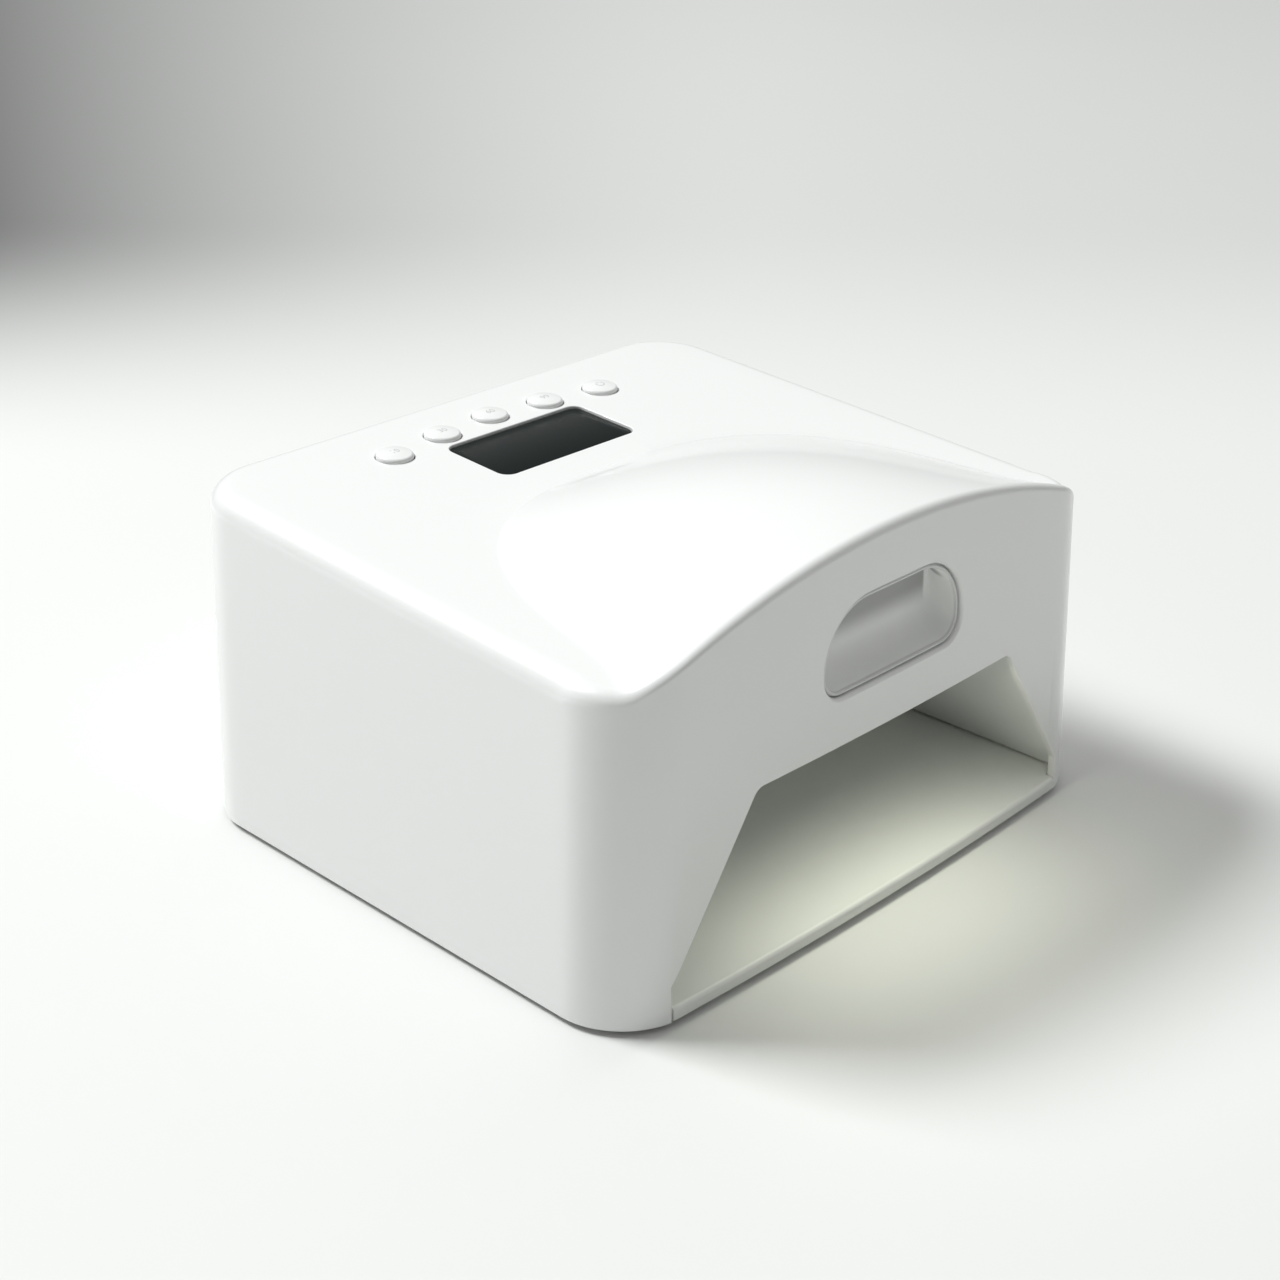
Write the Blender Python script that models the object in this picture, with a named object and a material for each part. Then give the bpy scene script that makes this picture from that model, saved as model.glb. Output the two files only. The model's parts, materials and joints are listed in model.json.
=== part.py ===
"""LED nail lamp: a white moulded body with an arched top, a hand tunnel with LED
boards round it, a lift-away base tray and five buttons over a circuit board.

Metres, +Z up. X runs across the lamp, the hand goes in from -Y, and the origin
is on the table under the middle of the lamp. Run it with Blender 4.5.
"""
import math

import bpy
import bmesh
from mathutils import Matrix, Vector

# Body: the one-piece outer housing
BODY_WIDTH = 0.230
BODY_DEPTH = 0.203
FRONT_BOW = 0.0035
CORNER_RADIUS = 0.024
FRONT_HEIGHT = 0.1045
REAR_RISE = 0.012
SIDE_DRAFT = 0.004
FRONT_DRAFT = 0.0018
REAR_DRAFT = 0.002
SHELL_WALL = 0.0025
RIM_RADIUS = 0.007
FRONT_RIM_RADIUS = 0.003
RIM_BLEND_POWER = 0.6
TABLE_GAP = 0.002

# Body: the arched rise on its top
ARCH_RISE = 0.0238
ARCH_REAR_SPACE = 0.0825
ARCH_SHOULDER = 0.018
ARCH_OUTLINE_POWER = 2.7
ARCH_FLARE_POWER = 8
ARCH_CREASE_SHARE = 0.012
ARCH_FOOT_SHARE = 0.11
ARCH_FOOT_POWER = 6
ARCH_MIDDLE_SHARE = 0.33

# Clearances and overruns
GAP = 0.0003
TRAY_GAP = 0.0005
CUT_OVERRUN = 0.004
MERGE = 0.000001
SHARP_ANGLE = math.radians(32)

# Hand tunnel
TUNNEL_KNEE = 0.014
TUNNEL_LEAN = 0.67
TUNNEL_CORNER = 0.005
MOUTH_LIP = 0.0008
TUNNEL_REAR_SPACE = 0.0079
LEG_WIDTH = 0.0205
BRIDGE_HEIGHT = 0.0158
TUNNEL_END_RADIUS = 0.018
LINER_WALL = 0.0018
FLANGE_HEIGHT = 0.010
FLANGE_THICKNESS = 0.002

# Handle pocket in the front face
SLOT_WIDTH = 0.065
SLOT_HEIGHT = 0.030
SLOT_DROP = 0.0235
SLOT_LOWER_RADIUS = 0.0085
SLOT_UPPER_RADIUS = 0.020
POCKET_DEPTH = 0.010
POCKET_WALL = 0.0012
POCKET_BACKSET = 0.0012
POCKET_SEAM = 0.0005
POCKET_FLANGE = 0.003
POCKET_DRAFT = 0.0012
POCKET_EDGE = 0.0008
POCKET_SCOOP = 0.011
POCKET_SCOOP_POWER = 1.1

# Base tray
TRAY_THICKNESS = 0.0045
TRAY_LIP = 0.0025
TRAY_SKIN = 0.002
TRAY_BORDER = 0.024
TRAY_RECESS_CORNER = 0.012
TRAY_RIB = 0.002
TRAY_RIBS = 3
FOOT_RADIUS = 0.0065
FOOT_INSET_X = 0.020
FOOT_INSET_Y = 0.026
MAGNET_RADIUS = 0.0035
MAGNET_EDGE = 0.0012
MAGNET_HEIGHT = 0.002
MAGNET_INSET_Y = 0.0615

# Display and control board, in the plane of the sloping top
PANEL_REAR_SPACE = 0.05275
WINDOW_WIDTH = 0.060
WINDOW_DEPTH = 0.030
WINDOW_CORNER = 0.004
WINDOW_THICKNESS = 0.002
WINDOW_RECESS = 0.0008
LCD_MARGIN = 0.002
BOARD_WIDTH = 0.124
BOARD_FRONT = 0.020
BOARD_REAR = 0.036
BOARD_CORNER = 0.003
BOARD_THICKNESS = 0.0016
POST_RADIUS = 0.003
POST_INSET = 0.005

# Buttons
BUTTON_COUNT = 5
BUTTON_RADIUS = 0.0063
BUTTON_PROUD = 0.0019
BUTTON_EDGE = 0.0012
BUTTON_CROWN = 0.0005
BUTTON_PITCH = 0.0236
BUTTON_ROW = 0.026
BUTTON_ROW_SAG = 0.0058
BUTTON_SAG_SHARES = (1.0, 0.4, 0.0, 0.4, 1.0)
BUTTON_HOLE_GAP = 0.00035
BUTTON_COLLAR = 0.001
BUTTON_COLLAR_REACH = 0.001
BUTTON_STEM_RADIUS = 0.0025
BUTTON_STEM_LENGTH = 0.0014
BUTTON_TRAVEL = 0.0008
PLUNGER_RADIUS = 0.00175
PLUNGER_SHOWN = 0.0012
PLUNGER_SUNK = 0.0012
SWITCH_WIDTH = 0.0062
SWITCH_FLOOR = 0.0012

# LED boards
LED_RADIUS = 0.0024
LED_PROUD = 0.0012
LED_SHOULDER_SHARE = 0.85
LED_HOLE_GAP = 0.0004
LED_BOARD_THICKNESS = 0.0016
LED_BOARD_MARGIN = 0.007
LED_BOARD_CORNER = 0.002
CEILING_ROWS = 3
CEILING_COLUMNS = 4
CEILING_SIDE_SPACE = 0.0182
SIDE_LEDS = 4
ROW_START_SPACE = 0.045
ROW_END_SPACE = 0.015
REAR_LEDS = 4
REAR_SIDE_SPACE = 0.0272
REAR_LED_Z = 0.031
SENSOR_Z = 0.0185
SENSOR_RADIUS = 0.003
SENSOR_COLLAR = 0.0015
SENSOR_TAIL = 0.001
SENSOR_TIP_SHARE = 0.7

# Battery pack behind the tunnel
CELL_RADIUS = 0.0091
CELL_LENGTH = 0.065
CELL_TERMINAL_RADIUS = 0.003
CELL_TERMINAL = 0.001
CELL_GAP = 0.0006
HOLDER_WALL = 0.0015
HOLDER_HEIGHT = 0.0135
HOLDER_CORNER = 0.001
HOLDER_REAR_SPACE = 0.002

# Screws, bosses and strikers
SCREW_INSET_Y = 0.0395
SCREW_RADIUS = 0.0015
SCREW_LENGTH = 0.012
SCREW_HEAD_RADIUS = 0.003
SCREW_HEAD = 0.0018
SCREW_CROWN_SHARE = 0.75
SCREW_POINT_SHARE = 0.33
SCREW_DRIVE_RADIUS = 0.0013
SCREW_DRIVE_DEPTH = 0.001
BOSS_RADIUS = 0.0045
BOSS_LENGTH = 0.024
BOSS_WALL_SHARE = 0.8
STRIKER_RADIUS = 0.0035

# Charging jack in the rear wall
JACK_CELL_SPACE = 0.004
JACK_COLLAR_RADIUS = 0.0045
JACK_BORE_RADIUS = 0.0029
JACK_BORE_DEPTH = 0.009
JACK_PIN_RADIUS = 0.001
JACK_PIN_BACKSET = 0.001
JACK_BODY_WIDTH = 0.012
JACK_BODY_LENGTH = 0.012
JACK_RECESS = 0.0003

# How finely the curves are faceted
CORNER_STEPS = 6
FRONT_STEPS = 12
REAR_STEPS = 6
SIDE_STEPS = 7
RIM_STEPS = 4
ROUND_STEPS = 4
LIP_STEPS = 3
POCKET_STEPS = 6
BUTTON_STEPS = 20
LED_STEPS = 8
CELL_STEPS = 16
SCREW_STEPS = 10
OUTER_RING_SHARES = (0.7, 0.35)
ARCH_RING_SHARES = (1.0, 0.88, 0.7, 0.5, 0.25)
CREASE_SHARE_MAX = 0.95
CROWN_SHARES = (1.0, 0.5)
HALVINGS = 24

# Places that follow from the sizes above
FRONT_Y = (FRONT_BOW - BODY_DEPTH) / 2
REAR_Y = FRONT_Y + BODY_DEPTH
TOP_HALF_WIDTH = BODY_WIDTH / 2 - SIDE_DRAFT
TOP_SLOPE = REAR_RISE / BODY_DEPTH
ARCH_LENGTH = BODY_DEPTH - ARCH_REAR_SPACE
ARCH_HALF_WIDTH = TOP_HALF_WIDTH - ARCH_SHOULDER
ARCH_MIDDLE_Y = FRONT_Y + ARCH_LENGTH * ARCH_MIDDLE_SHARE
SLOT_BOTTOM = FRONT_HEIGHT - SLOT_DROP
TUNNEL_TOP = SLOT_BOTTOM - BRIDGE_HEIGHT
TUNNEL_BOTTOM_HALF = BODY_WIDTH / 2 - LEG_WIDTH
TUNNEL_TOP_HALF = TUNNEL_BOTTOM_HALF - TUNNEL_LEAN * (TUNNEL_TOP - TUNNEL_KNEE)
HOLDER_FLOOR = FLANGE_HEIGHT + FLANGE_THICKNESS + GAP
HOLDER_INNER_HALF = CELL_RADIUS * 2 + CELL_GAP
CELL_ROWS_Y = REAR_Y - SHELL_WALL - HOLDER_REAR_SPACE - HOLDER_WALL - HOLDER_INNER_HALF
CELL_AXIS_Z = HOLDER_FLOOR + HOLDER_WALL + GAP + CELL_RADIUS
TUNNEL_END_Y = CELL_ROWS_Y - HOLDER_INNER_HALF - HOLDER_WALL - TUNNEL_REAR_SPACE
PANEL_Y = REAR_Y - PANEL_REAR_SPACE
SCREW_Y = BODY_DEPTH / 2 - SCREW_INSET_Y
MAGNET_Y = BODY_DEPTH / 2 - MAGNET_INSET_Y
JACK_Z = CELL_AXIS_Z + CELL_RADIUS + JACK_CELL_SPACE + JACK_BODY_WIDTH / 2
TRAY_TOP = TABLE_GAP + GAP + TRAY_THICKNESS
FOOT_HEIGHT = TABLE_GAP
BUTTON_STEM_END = SHELL_WALL + GAP + BUTTON_COLLAR + BUTTON_STEM_LENGTH
SWITCH_TOP = BUTTON_STEM_END + GAP + PLUNGER_SHOWN
SWITCH_HEIGHT = PLUNGER_SUNK + BUTTON_TRAVEL + GAP + SWITCH_FLOOR
BOARD_TOP = SWITCH_TOP + SWITCH_HEIGHT + GAP
STRIKER_X = BODY_WIDTH / 2 - SHELL_WALL - TRAY_GAP - MAGNET_EDGE - GAP - MAGNET_RADIUS
ROW_START_Y = FRONT_Y + ROW_START_SPACE
ROW_END_Y = TUNNEL_END_Y - TUNNEL_END_RADIUS - ROW_END_SPACE


def clear_scene():
    """Remove every object that the file opened with."""
    for old in list(bpy.data.objects):
        bpy.data.objects.remove(old, do_unlink=True)


def finish(name, colour, roughness, metallic=0.0):
    """A material of one plain colour."""
    material = bpy.data.materials.new(name)
    material.use_nodes = True
    shader = material.node_tree.nodes["Principled BSDF"]
    shader.inputs["Base Color"].default_value = (*colour, 1.0)
    shader.inputs["Roughness"].default_value = roughness
    shader.inputs["Metallic"].default_value = metallic
    return material


def place(name, mesh, material=None, parent=None, location=(0, 0, 0), smooth=True):
    """Put a mesh in the scene as a named object."""
    mesh.name = name
    piece = bpy.data.objects.new(name, mesh)
    bpy.context.scene.collection.objects.link(piece)
    piece.parent = parent
    piece.location = location
    if material:
        mesh.materials.append(material)
    if smooth:
        mesh.shade_smooth()
        mesh.set_sharp_from_angle(angle=SHARP_ANGLE)
    return piece


def empty(name, location, rotation=(0, 0, 0), parent=None):
    """A guide whose axes its children follow."""
    guide = bpy.data.objects.new(name, None)
    bpy.context.scene.collection.objects.link(guide)
    guide.location = location
    guide.rotation_euler = rotation
    guide.parent = parent
    return guide


def shape(target, tool, operation):
    """Cut, join or keep what a tool covers, and leave the tool as a guide."""
    tool.hide_render = True
    tool.display_type = "WIRE"
    step = target.modifiers.new(tool.name, "BOOLEAN")
    step.operation = operation
    step.solver = "EXACT"
    step.object = tool


def to_mesh(work):
    """Turn a bmesh into a mesh with its faces pointing out."""
    bmesh.ops.remove_doubles(work, verts=work.verts, dist=MERGE)
    bmesh.ops.recalc_face_normals(work, faces=work.faces)
    bmesh.ops.triangulate(work, faces=work.faces)
    mesh = bpy.data.meshes.new("shape")
    work.to_mesh(mesh)
    work.free()
    return mesh


def add_loft(work, loops, cap_first=True, cap_last=True):
    """Skin a row of closed loops that all have the same number of points."""
    rings = [[work.verts.new(point) for point in loop] for loop in loops]
    count = len(rings[0])
    for lower, upper in zip(rings, rings[1:]):
        for index in range(count):
            following = (index + 1) % count
            work.faces.new((lower[index], lower[following], upper[following], upper[index]))
    if cap_first:
        work.faces.new(rings[0])
    if cap_last:
        work.faces.new(rings[-1])
    return rings


def loft(loops):
    """A closed solid skinned over loops, with flat ends."""
    work = bmesh.new()
    add_loft(work, loops)
    return to_mesh(work)


def turned(profile, steps):
    """A solid of revolution about local Z from (radius, height) points."""
    work = bmesh.new()
    loops = []
    for radius, height in profile:
        loops.append([
            (radius * math.cos(math.tau * k / steps), radius * math.sin(math.tau * k / steps), height)
            for k in range(steps)
        ])
    add_loft(work, loops)
    return to_mesh(work)


def rounded_outline(corners, steps=ROUND_STEPS):
    """A closed 2-D outline from (x, y, radius) corners, with an arc at each."""
    points = []
    count = len(corners)
    for index, (x, y, radius) in enumerate(corners):
        corner = Vector((x, y))
        if not radius:
            points.append(corner)
            continue
        before = Vector(corners[index - 1][:2]) - corner
        after = Vector(corners[(index + 1) % count][:2]) - corner
        before.normalize()
        after.normalize()
        half_angle = before.angle(after) / 2
        reach = radius / math.tan(half_angle)
        centre = corner + (before + after).normalized() * (radius / math.sin(half_angle))
        start = corner + before * reach - centre
        end = corner + after * reach - centre
        sweep = math.atan2(start.cross(end), start.dot(end))
        for step in range(steps + 1):
            spin = Matrix.Rotation(sweep * step / steps, 2)
            points.append(centre + spin @ start)
    return points


def rectangle(low_x, low_y, high_x, high_y, radius):
    """A rounded rectangle outline."""
    return rounded_outline([
        (low_x, low_y, radius),
        (high_x, low_y, radius),
        (high_x, high_y, radius),
        (low_x, high_y, radius),
    ])


def slab(outline, low, high):
    """An outline in local XY as a solid between two heights."""
    return loft([[(p.x, p.y, height) for p in outline] for height in (low, high)])


# Outline of the body: each station is a place along the straight sides and a
# direction outwards, so that one list serves every height and every wall.
def outline_stations():
    """Stations (along_x, along_y, out_x, out_y), anticlockwise from the front left."""
    stations = []

    def corner(along_x, along_y, start):
        for step in range(1, CORNER_STEPS + 1):
            angle = math.radians(start + 90 * step / CORNER_STEPS)
            stations.append((along_x, along_y, math.cos(angle), math.sin(angle)))

    for step in range(1, FRONT_STEPS + 1):
        stations.append((2 * step / FRONT_STEPS - 1, -1, 0, -1))
    corner(1, -1, 270)
    for step in range(1, SIDE_STEPS + 1):
        stations.append((1, 2 * step / SIDE_STEPS - 1, 1, 0))
    corner(1, 1, 0)
    for step in range(1, REAR_STEPS + 1):
        stations.append((1 - 2 * step / REAR_STEPS, 1, 0, 1))
    corner(-1, 1, 90)
    for step in range(1, SIDE_STEPS + 1):
        stations.append((-1, 1 - 2 * step / SIDE_STEPS, -1, 0))
    corner(-1, -1, 180)
    return stations


def body_sides(height, inset):
    """Half width, front and rear of the body at a height, moved inwards by inset."""
    share = height / FRONT_HEIGHT
    half = BODY_WIDTH / 2 - SIDE_DRAFT * share - inset
    front = FRONT_Y + FRONT_DRAFT * share + inset
    rear = REAR_Y - REAR_DRAFT * share - inset
    return half, front, rear


def body_point(station, height, inset):
    """Plan point of the body's skin at a station, height and inset."""
    along_x, along_y, out_x, out_y = station
    half, front, rear = body_sides(height, inset)
    radius = CORNER_RADIUS - inset
    middle = (front + rear) / 2
    half_depth = (rear - front) / 2
    x = along_x * (half - radius) + out_x * radius
    y = middle + along_y * (half_depth - radius) + out_y * radius
    y -= FRONT_BOW * (1 - (x / half) ** 2) * max(0, -out_y)
    return x, y


def body_loop(stations, height, inset, z):
    """A level loop of the body's skin."""
    return [(*body_point(station, height, inset), z) for station in stations]


def front_face_y(x, height, inset):
    """Y of the front skin at a distance from the middle, into its rounded corners."""
    half, front, rear = body_sides(height, inset)
    radius = CORNER_RADIUS - inset
    past = max(0, abs(x) - (half - radius))
    facing = math.sqrt(1 - (past / radius) ** 2)
    return front + radius * (1 - facing) - FRONT_BOW * (1 - (x / half) ** 2) * facing


def arch_half_width(share):
    """Half width of the arched rise at a share of its length."""
    rounded = (1 - share ** ARCH_OUTLINE_POWER) ** (1 / ARCH_OUTLINE_POWER)
    flare = (TOP_HALF_WIDTH - ARCH_HALF_WIDTH) * (1 - share) ** ARCH_FLARE_POWER
    return ARCH_HALF_WIDTH * rounded + flare


def arch_shares(x, y):
    """Share of the arch's length, and its rise across: 1 at the middle, 0 at its edge, less beyond."""
    along = max(0, (y - FRONT_Y) / ARCH_LENGTH)
    if along >= 1:
        return 1, -1
    return along, 1 - (x / arch_half_width(along)) ** 2


def arch_lift(x, y):
    """Height of the arched rise over the sloping top, with a foot that is softest at the front."""
    along, across = arch_shares(x, y)
    soft = ARCH_CREASE_SHARE + ARCH_FOOT_SHARE * (1 - along) ** ARCH_FOOT_POWER
    if across <= -soft:
        return 0
    if across < soft:
        across = (across + soft) ** 2 / (soft * 4)
    return ARCH_RISE * (1 - along ** 2) * across


def top_height(x, y):
    """Height of the top skin over the body's bottom edge."""
    return FRONT_HEIGHT + TOP_SLOPE * (y - FRONT_Y) + arch_lift(x, y)


def rim_radius(station):
    """Radius of the rim at a station: it tightens round the front corners to the front's."""
    return RIM_RADIUS + (FRONT_RIM_RADIUS - RIM_RADIUS) * max(0, -station[3]) ** RIM_BLEND_POWER


def rim_loop(stations, turn, wall):
    """A loop of the rounded rim: turn runs from the wall to the top."""
    loop = []
    for station in stations:
        radius = rim_radius(station) - wall
        inset = wall + radius * (1 - math.cos(turn))
        drop = wall + radius * (1 - math.sin(turn))
        x, y = body_point(station, FRONT_HEIGHT, inset)
        height = top_height(x, y) - drop
        x, y = body_point(station, height, inset)
        loop.append((x, y, TABLE_GAP + top_height(x, y) - drop))
    return loop


def crease_share(x, y):
    """Where the line from the arch's middle to a point on the rim crosses the arch's edge."""
    inner = 0
    outer = 1
    for halving in range(HALVINGS):
        middle = (inner + outer) / 2
        along, across = arch_shares(x * middle, ARCH_MIDDLE_Y + (y - ARCH_MIDDLE_Y) * middle)
        if across > 0:
            inner = middle
        else:
            outer = middle
    return min(inner, CREASE_SHARE_MAX)


def skin_loops(stations, wall):
    """Loops of one skin of the body, from its bottom edge to the middle of its arch.

    One loop of the top lies along the crease where the arch meets the sloping top.
    """
    loops = [body_loop(stations, 0, wall, TABLE_GAP)]
    for step in range(RIM_STEPS + 1):
        loops.append(rim_loop(stations, math.pi / 2 * step / RIM_STEPS, wall))
    edge = [(x, y, crease_share(x, y)) for x, y, z in loops[-1]]
    shares = [(1, between) for between in OUTER_RING_SHARES] + [(inside, 0) for inside in ARCH_RING_SHARES]
    for inside, between in shares:
        ring = []
        for x, y, crease in edge:
            share = crease * inside + (1 - crease) * between
            ring_x = x * share
            ring_y = ARCH_MIDDLE_Y + (y - ARCH_MIDDLE_Y) * share
            ring.append((ring_x, ring_y, TABLE_GAP + top_height(ring_x, ring_y) - wall))
        loops.append(ring)
    return loops, (0, ARCH_MIDDLE_Y, TABLE_GAP + top_height(0, ARCH_MIDDLE_Y) - wall)


def body_shell():
    """The housing before its openings: an outer and an inner skin joined at the bottom."""
    stations = outline_stations()
    work = bmesh.new()
    bottoms = []
    for wall in (0, SHELL_WALL):
        loops, crown = skin_loops(stations, wall)
        rings = add_loft(work, loops, cap_first=False, cap_last=False)
        peak = work.verts.new(crown)
        last = rings[-1]
        for index, vert in enumerate(last):
            work.faces.new((vert, last[(index + 1) % len(last)], peak))
        bottoms.append(rings[0])
    outer, inner = bottoms
    for index, vert in enumerate(outer):
        following = (index + 1) % len(outer)
        work.faces.new((vert, outer[following], inner[following], inner[index]))
    return to_mesh(work)


# Hand tunnel: the opening in the front face stands upright below its knee, and
# the liner behind it runs straight down to the tray, MOUTH_LIP further out.
def tunnel_slope():
    """Unit direction up the right slanted wall and its outward direction, in XZ."""
    along = Vector((TUNNEL_TOP_HALF - TUNNEL_BOTTOM_HALF, TUNNEL_TOP - TUNNEL_KNEE)).normalized()
    return along, Vector((along.y, -along.x))


def slanted_wall_x(height, reach):
    """X of the right slanted wall at a height, moved outwards by reach."""
    along, outward = tunnel_slope()
    start = Vector((TUNNEL_BOTTOM_HALF, TUNNEL_KNEE)) + outward * reach
    return start.x + along.x * (height - start.y) / along.y


def mouth_outline(bottom):
    """The opening in the front face, in XZ and open below to bottom."""
    return rounded_outline([
        (-TUNNEL_BOTTOM_HALF, bottom, 0),
        (TUNNEL_BOTTOM_HALF, bottom, 0),
        (TUNNEL_BOTTOM_HALF, TUNNEL_KNEE, 0),
        (TUNNEL_TOP_HALF, TUNNEL_TOP, TUNNEL_CORNER),
        (-TUNNEL_TOP_HALF, TUNNEL_TOP, TUNNEL_CORNER),
        (-TUNNEL_BOTTOM_HALF, TUNNEL_KNEE, 0),
    ])


def tunnel_outline(reach, bottom):
    """The liner's outline in XZ, moved outwards by reach and open below to bottom."""
    ceiling = TUNNEL_TOP + reach
    foot = slanted_wall_x(bottom, reach)
    shoulder = slanted_wall_x(ceiling, reach)
    return rounded_outline([
        (-foot, bottom, 0),
        (foot, bottom, 0),
        (shoulder, ceiling, TUNNEL_CORNER),
        (-shoulder, ceiling, TUNNEL_CORNER),
    ])


def tunnel_solid(wall, bottom, front_overrun):
    """The tunnel as a solid, with a rounded rear end."""
    reach = MOUTH_LIP + wall
    loops = []
    first = []
    for point in tunnel_outline(reach, bottom):
        height = point.y - TABLE_GAP
        y = front_face_y(point.x, height, SHELL_WALL + GAP) - front_overrun
        first.append((point.x, y, point.y))
    loops.append(first)
    for step in range(ROUND_STEPS + 1):
        turn = math.pi / 2 * step / ROUND_STEPS
        inset = TUNNEL_END_RADIUS * (1 - math.cos(turn))
        y = TUNNEL_END_Y + reach - TUNNEL_END_RADIUS * (1 - math.sin(turn))
        outline = tunnel_outline(reach - inset, bottom)
        loops.append([(point.x, y, point.y) for point in outline])
    return loft(loops)


def slot_outline(inset):
    """The handle slot's outline in XZ, moved inwards by inset."""
    half = SLOT_WIDTH / 2 - inset
    low = SLOT_BOTTOM + inset
    high = SLOT_BOTTOM + SLOT_HEIGHT - inset
    return rounded_outline([
        (-half, low, SLOT_LOWER_RADIUS - inset),
        (half, low, SLOT_LOWER_RADIUS - inset),
        (half, high, SLOT_UPPER_RADIUS - inset),
        (-half, high, SLOT_UPPER_RADIUS - inset),
    ])


def through_front(outline):
    """A cutter with an XZ outline that passes through the front wall alone."""
    near = FRONT_Y - FRONT_BOW - CUT_OVERRUN
    far = FRONT_Y + FRONT_DRAFT * 2 + SHELL_WALL + CUT_OVERRUN
    return loft([[(point.x, y, point.y) for point in outline] for y in (near, far)])


def panel_frame(parent):
    """The middle of the display on the sloping top: local Z leaves the top square to it."""
    height = TABLE_GAP + top_height(0, PANEL_Y)
    return empty("panel_frame", (0, PANEL_Y, height), (math.atan(TOP_SLOPE), 0, 0), parent)


def button_place(index):
    """Centre of a button in the panel's plane."""
    from_middle = index - (BUTTON_COUNT - 1) / 2
    return from_middle * BUTTON_PITCH, BUTTON_ROW - BUTTON_ROW_SAG * BUTTON_SAG_SHARES[index]


def post_places():
    """Centres of the four posts that the control board hangs from."""
    x = BOARD_WIDTH / 2 - POST_INSET
    return [(side * x, y) for side in (-1, 1) for y in (POST_INSET - BOARD_FRONT, BOARD_REAR - POST_INSET)]


def boss_x():
    """Distance of a screw boss from the middle: it stands part way into the side wall."""
    half, front, rear = body_sides(FLANGE_HEIGHT + FLANGE_THICKNESS + BOSS_LENGTH, 0)
    return half - SHELL_WALL * (1 - BOSS_WALL_SHARE) - BOSS_RADIUS


def screw_places():
    """Plan places of the four screws."""
    return [(side * boss_x(), end * SCREW_Y) for end in (-1, 1) for side in (-1, 1)]


def outer_housing(material, panel):
    """The moulded housing with its posts, bosses and openings."""
    housing = place("outer_housing", body_shell(), material)
    overlap = SHELL_WALL / 2
    for number, (x, y) in enumerate(post_places(), 1):
        profile = [(POST_RADIUS, -BOARD_TOP + GAP), (POST_RADIUS, -SHELL_WALL + overlap)]
        post = place("board_post_%d" % number, turned(profile, SCREW_STEPS), None, panel, (x, y, 0))
        shape(housing, post, "UNION")
    boss_bottom = FLANGE_HEIGHT + FLANGE_THICKNESS + GAP
    boss_top = boss_bottom + BOSS_LENGTH
    bore_top = FLANGE_HEIGHT - GAP + SCREW_LENGTH + GAP
    for number, (x, y) in enumerate(screw_places(), 1):
        profile = [(BOSS_RADIUS, boss_bottom), (BOSS_RADIUS, boss_top)]
        boss = place("boss_%d" % number, turned(profile, SCREW_STEPS), None, None, (x, y, 0))
        shape(housing, boss, "UNION")
        bore = [(SCREW_RADIUS + GAP, boss_bottom - CUT_OVERRUN), (SCREW_RADIUS + GAP, bore_top)]
        drill = place("boss_bore_%d" % number, turned(bore, SCREW_STEPS), None, None, (x, y, 0))
        shape(housing, drill, "DIFFERENCE")
    shape(housing, place("opening_cutter", through_front(mouth_outline(-CUT_OVERRUN))), "DIFFERENCE")
    shape(housing, place("slot_cutter", through_front(slot_outline(0))), "DIFFERENCE")
    half_width = WINDOW_WIDTH / 2 + GAP
    half_depth = WINDOW_DEPTH / 2 + GAP
    outline = rectangle(-half_width, -half_depth, half_width, half_depth, WINDOW_CORNER + GAP)
    hole = slab(outline, -SHELL_WALL - CUT_OVERRUN, CUT_OVERRUN)
    shape(housing, place("window_cutter", hole, None, panel), "DIFFERENCE")
    for index in range(BUTTON_COUNT):
        radius = BUTTON_RADIUS + BUTTON_HOLE_GAP
        profile = [(radius, -SHELL_WALL - CUT_OVERRUN), (radius, CUT_OVERRUN)]
        x, y = button_place(index)
        name = "button_cutter_%d" % (index + 1)
        drill = place(name, turned(profile, BUTTON_STEPS), None, panel, (x, y, 0))
        shape(housing, drill, "DIFFERENCE")
    radius = JACK_COLLAR_RADIUS + GAP
    profile = [(radius, -CUT_OVERRUN), (radius, SHELL_WALL + REAR_DRAFT + CUT_OVERRUN)]
    drill = place("jack_cutter", turned(profile, BUTTON_STEPS), None, jack_frame("jack_hole_frame"))
    shape(housing, drill, "DIFFERENCE")
    return housing


def led_frames():
    """Guides on the tunnel's inner skin: local Z points out of the tunnel, into the body."""
    along, outward = tunnel_slope()
    tilt = math.atan2(outward.x, outward.y)
    middle_y = (ROW_START_Y + ROW_END_Y) / 2
    middle_z = (TUNNEL_TOP + TUNNEL_KNEE) / 2
    middle_x = slanted_wall_x(middle_z, MOUTH_LIP)
    return {
        "ceiling": empty("ceiling_frame", (0, middle_y, TUNNEL_TOP + MOUTH_LIP)),
        "left": empty("left_frame", (-middle_x, middle_y, middle_z), (0, -tilt, 0)),
        "right": empty("right_frame", (middle_x, middle_y, middle_z), (0, tilt, 0)),
        "rear": empty("rear_frame", (0, TUNNEL_END_Y + MOUTH_LIP, REAR_LED_Z), (-math.pi / 2, 0, 0)),
    }


def led_places():
    """LED places on each board, in the plane of its guide."""
    def row(count, length):
        return [(index / (count - 1) - 0.5) * length for index in range(count)]

    straight = ROW_END_Y - ROW_START_Y
    columns = row(CEILING_COLUMNS, (TUNNEL_TOP_HALF - CEILING_SIDE_SPACE) * 2)
    rows = row(CEILING_ROWS, straight)
    return {
        "ceiling": [(x, y) for x in columns for y in rows],
        "left": [(0, y) for y in row(SIDE_LEDS, straight)],
        "right": [(0, y) for y in row(SIDE_LEDS, straight)],
        "rear": [(x, 0) for x in row(REAR_LEDS, (TUNNEL_TOP_HALF - REAR_SIDE_SPACE) * 2)],
    }


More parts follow.
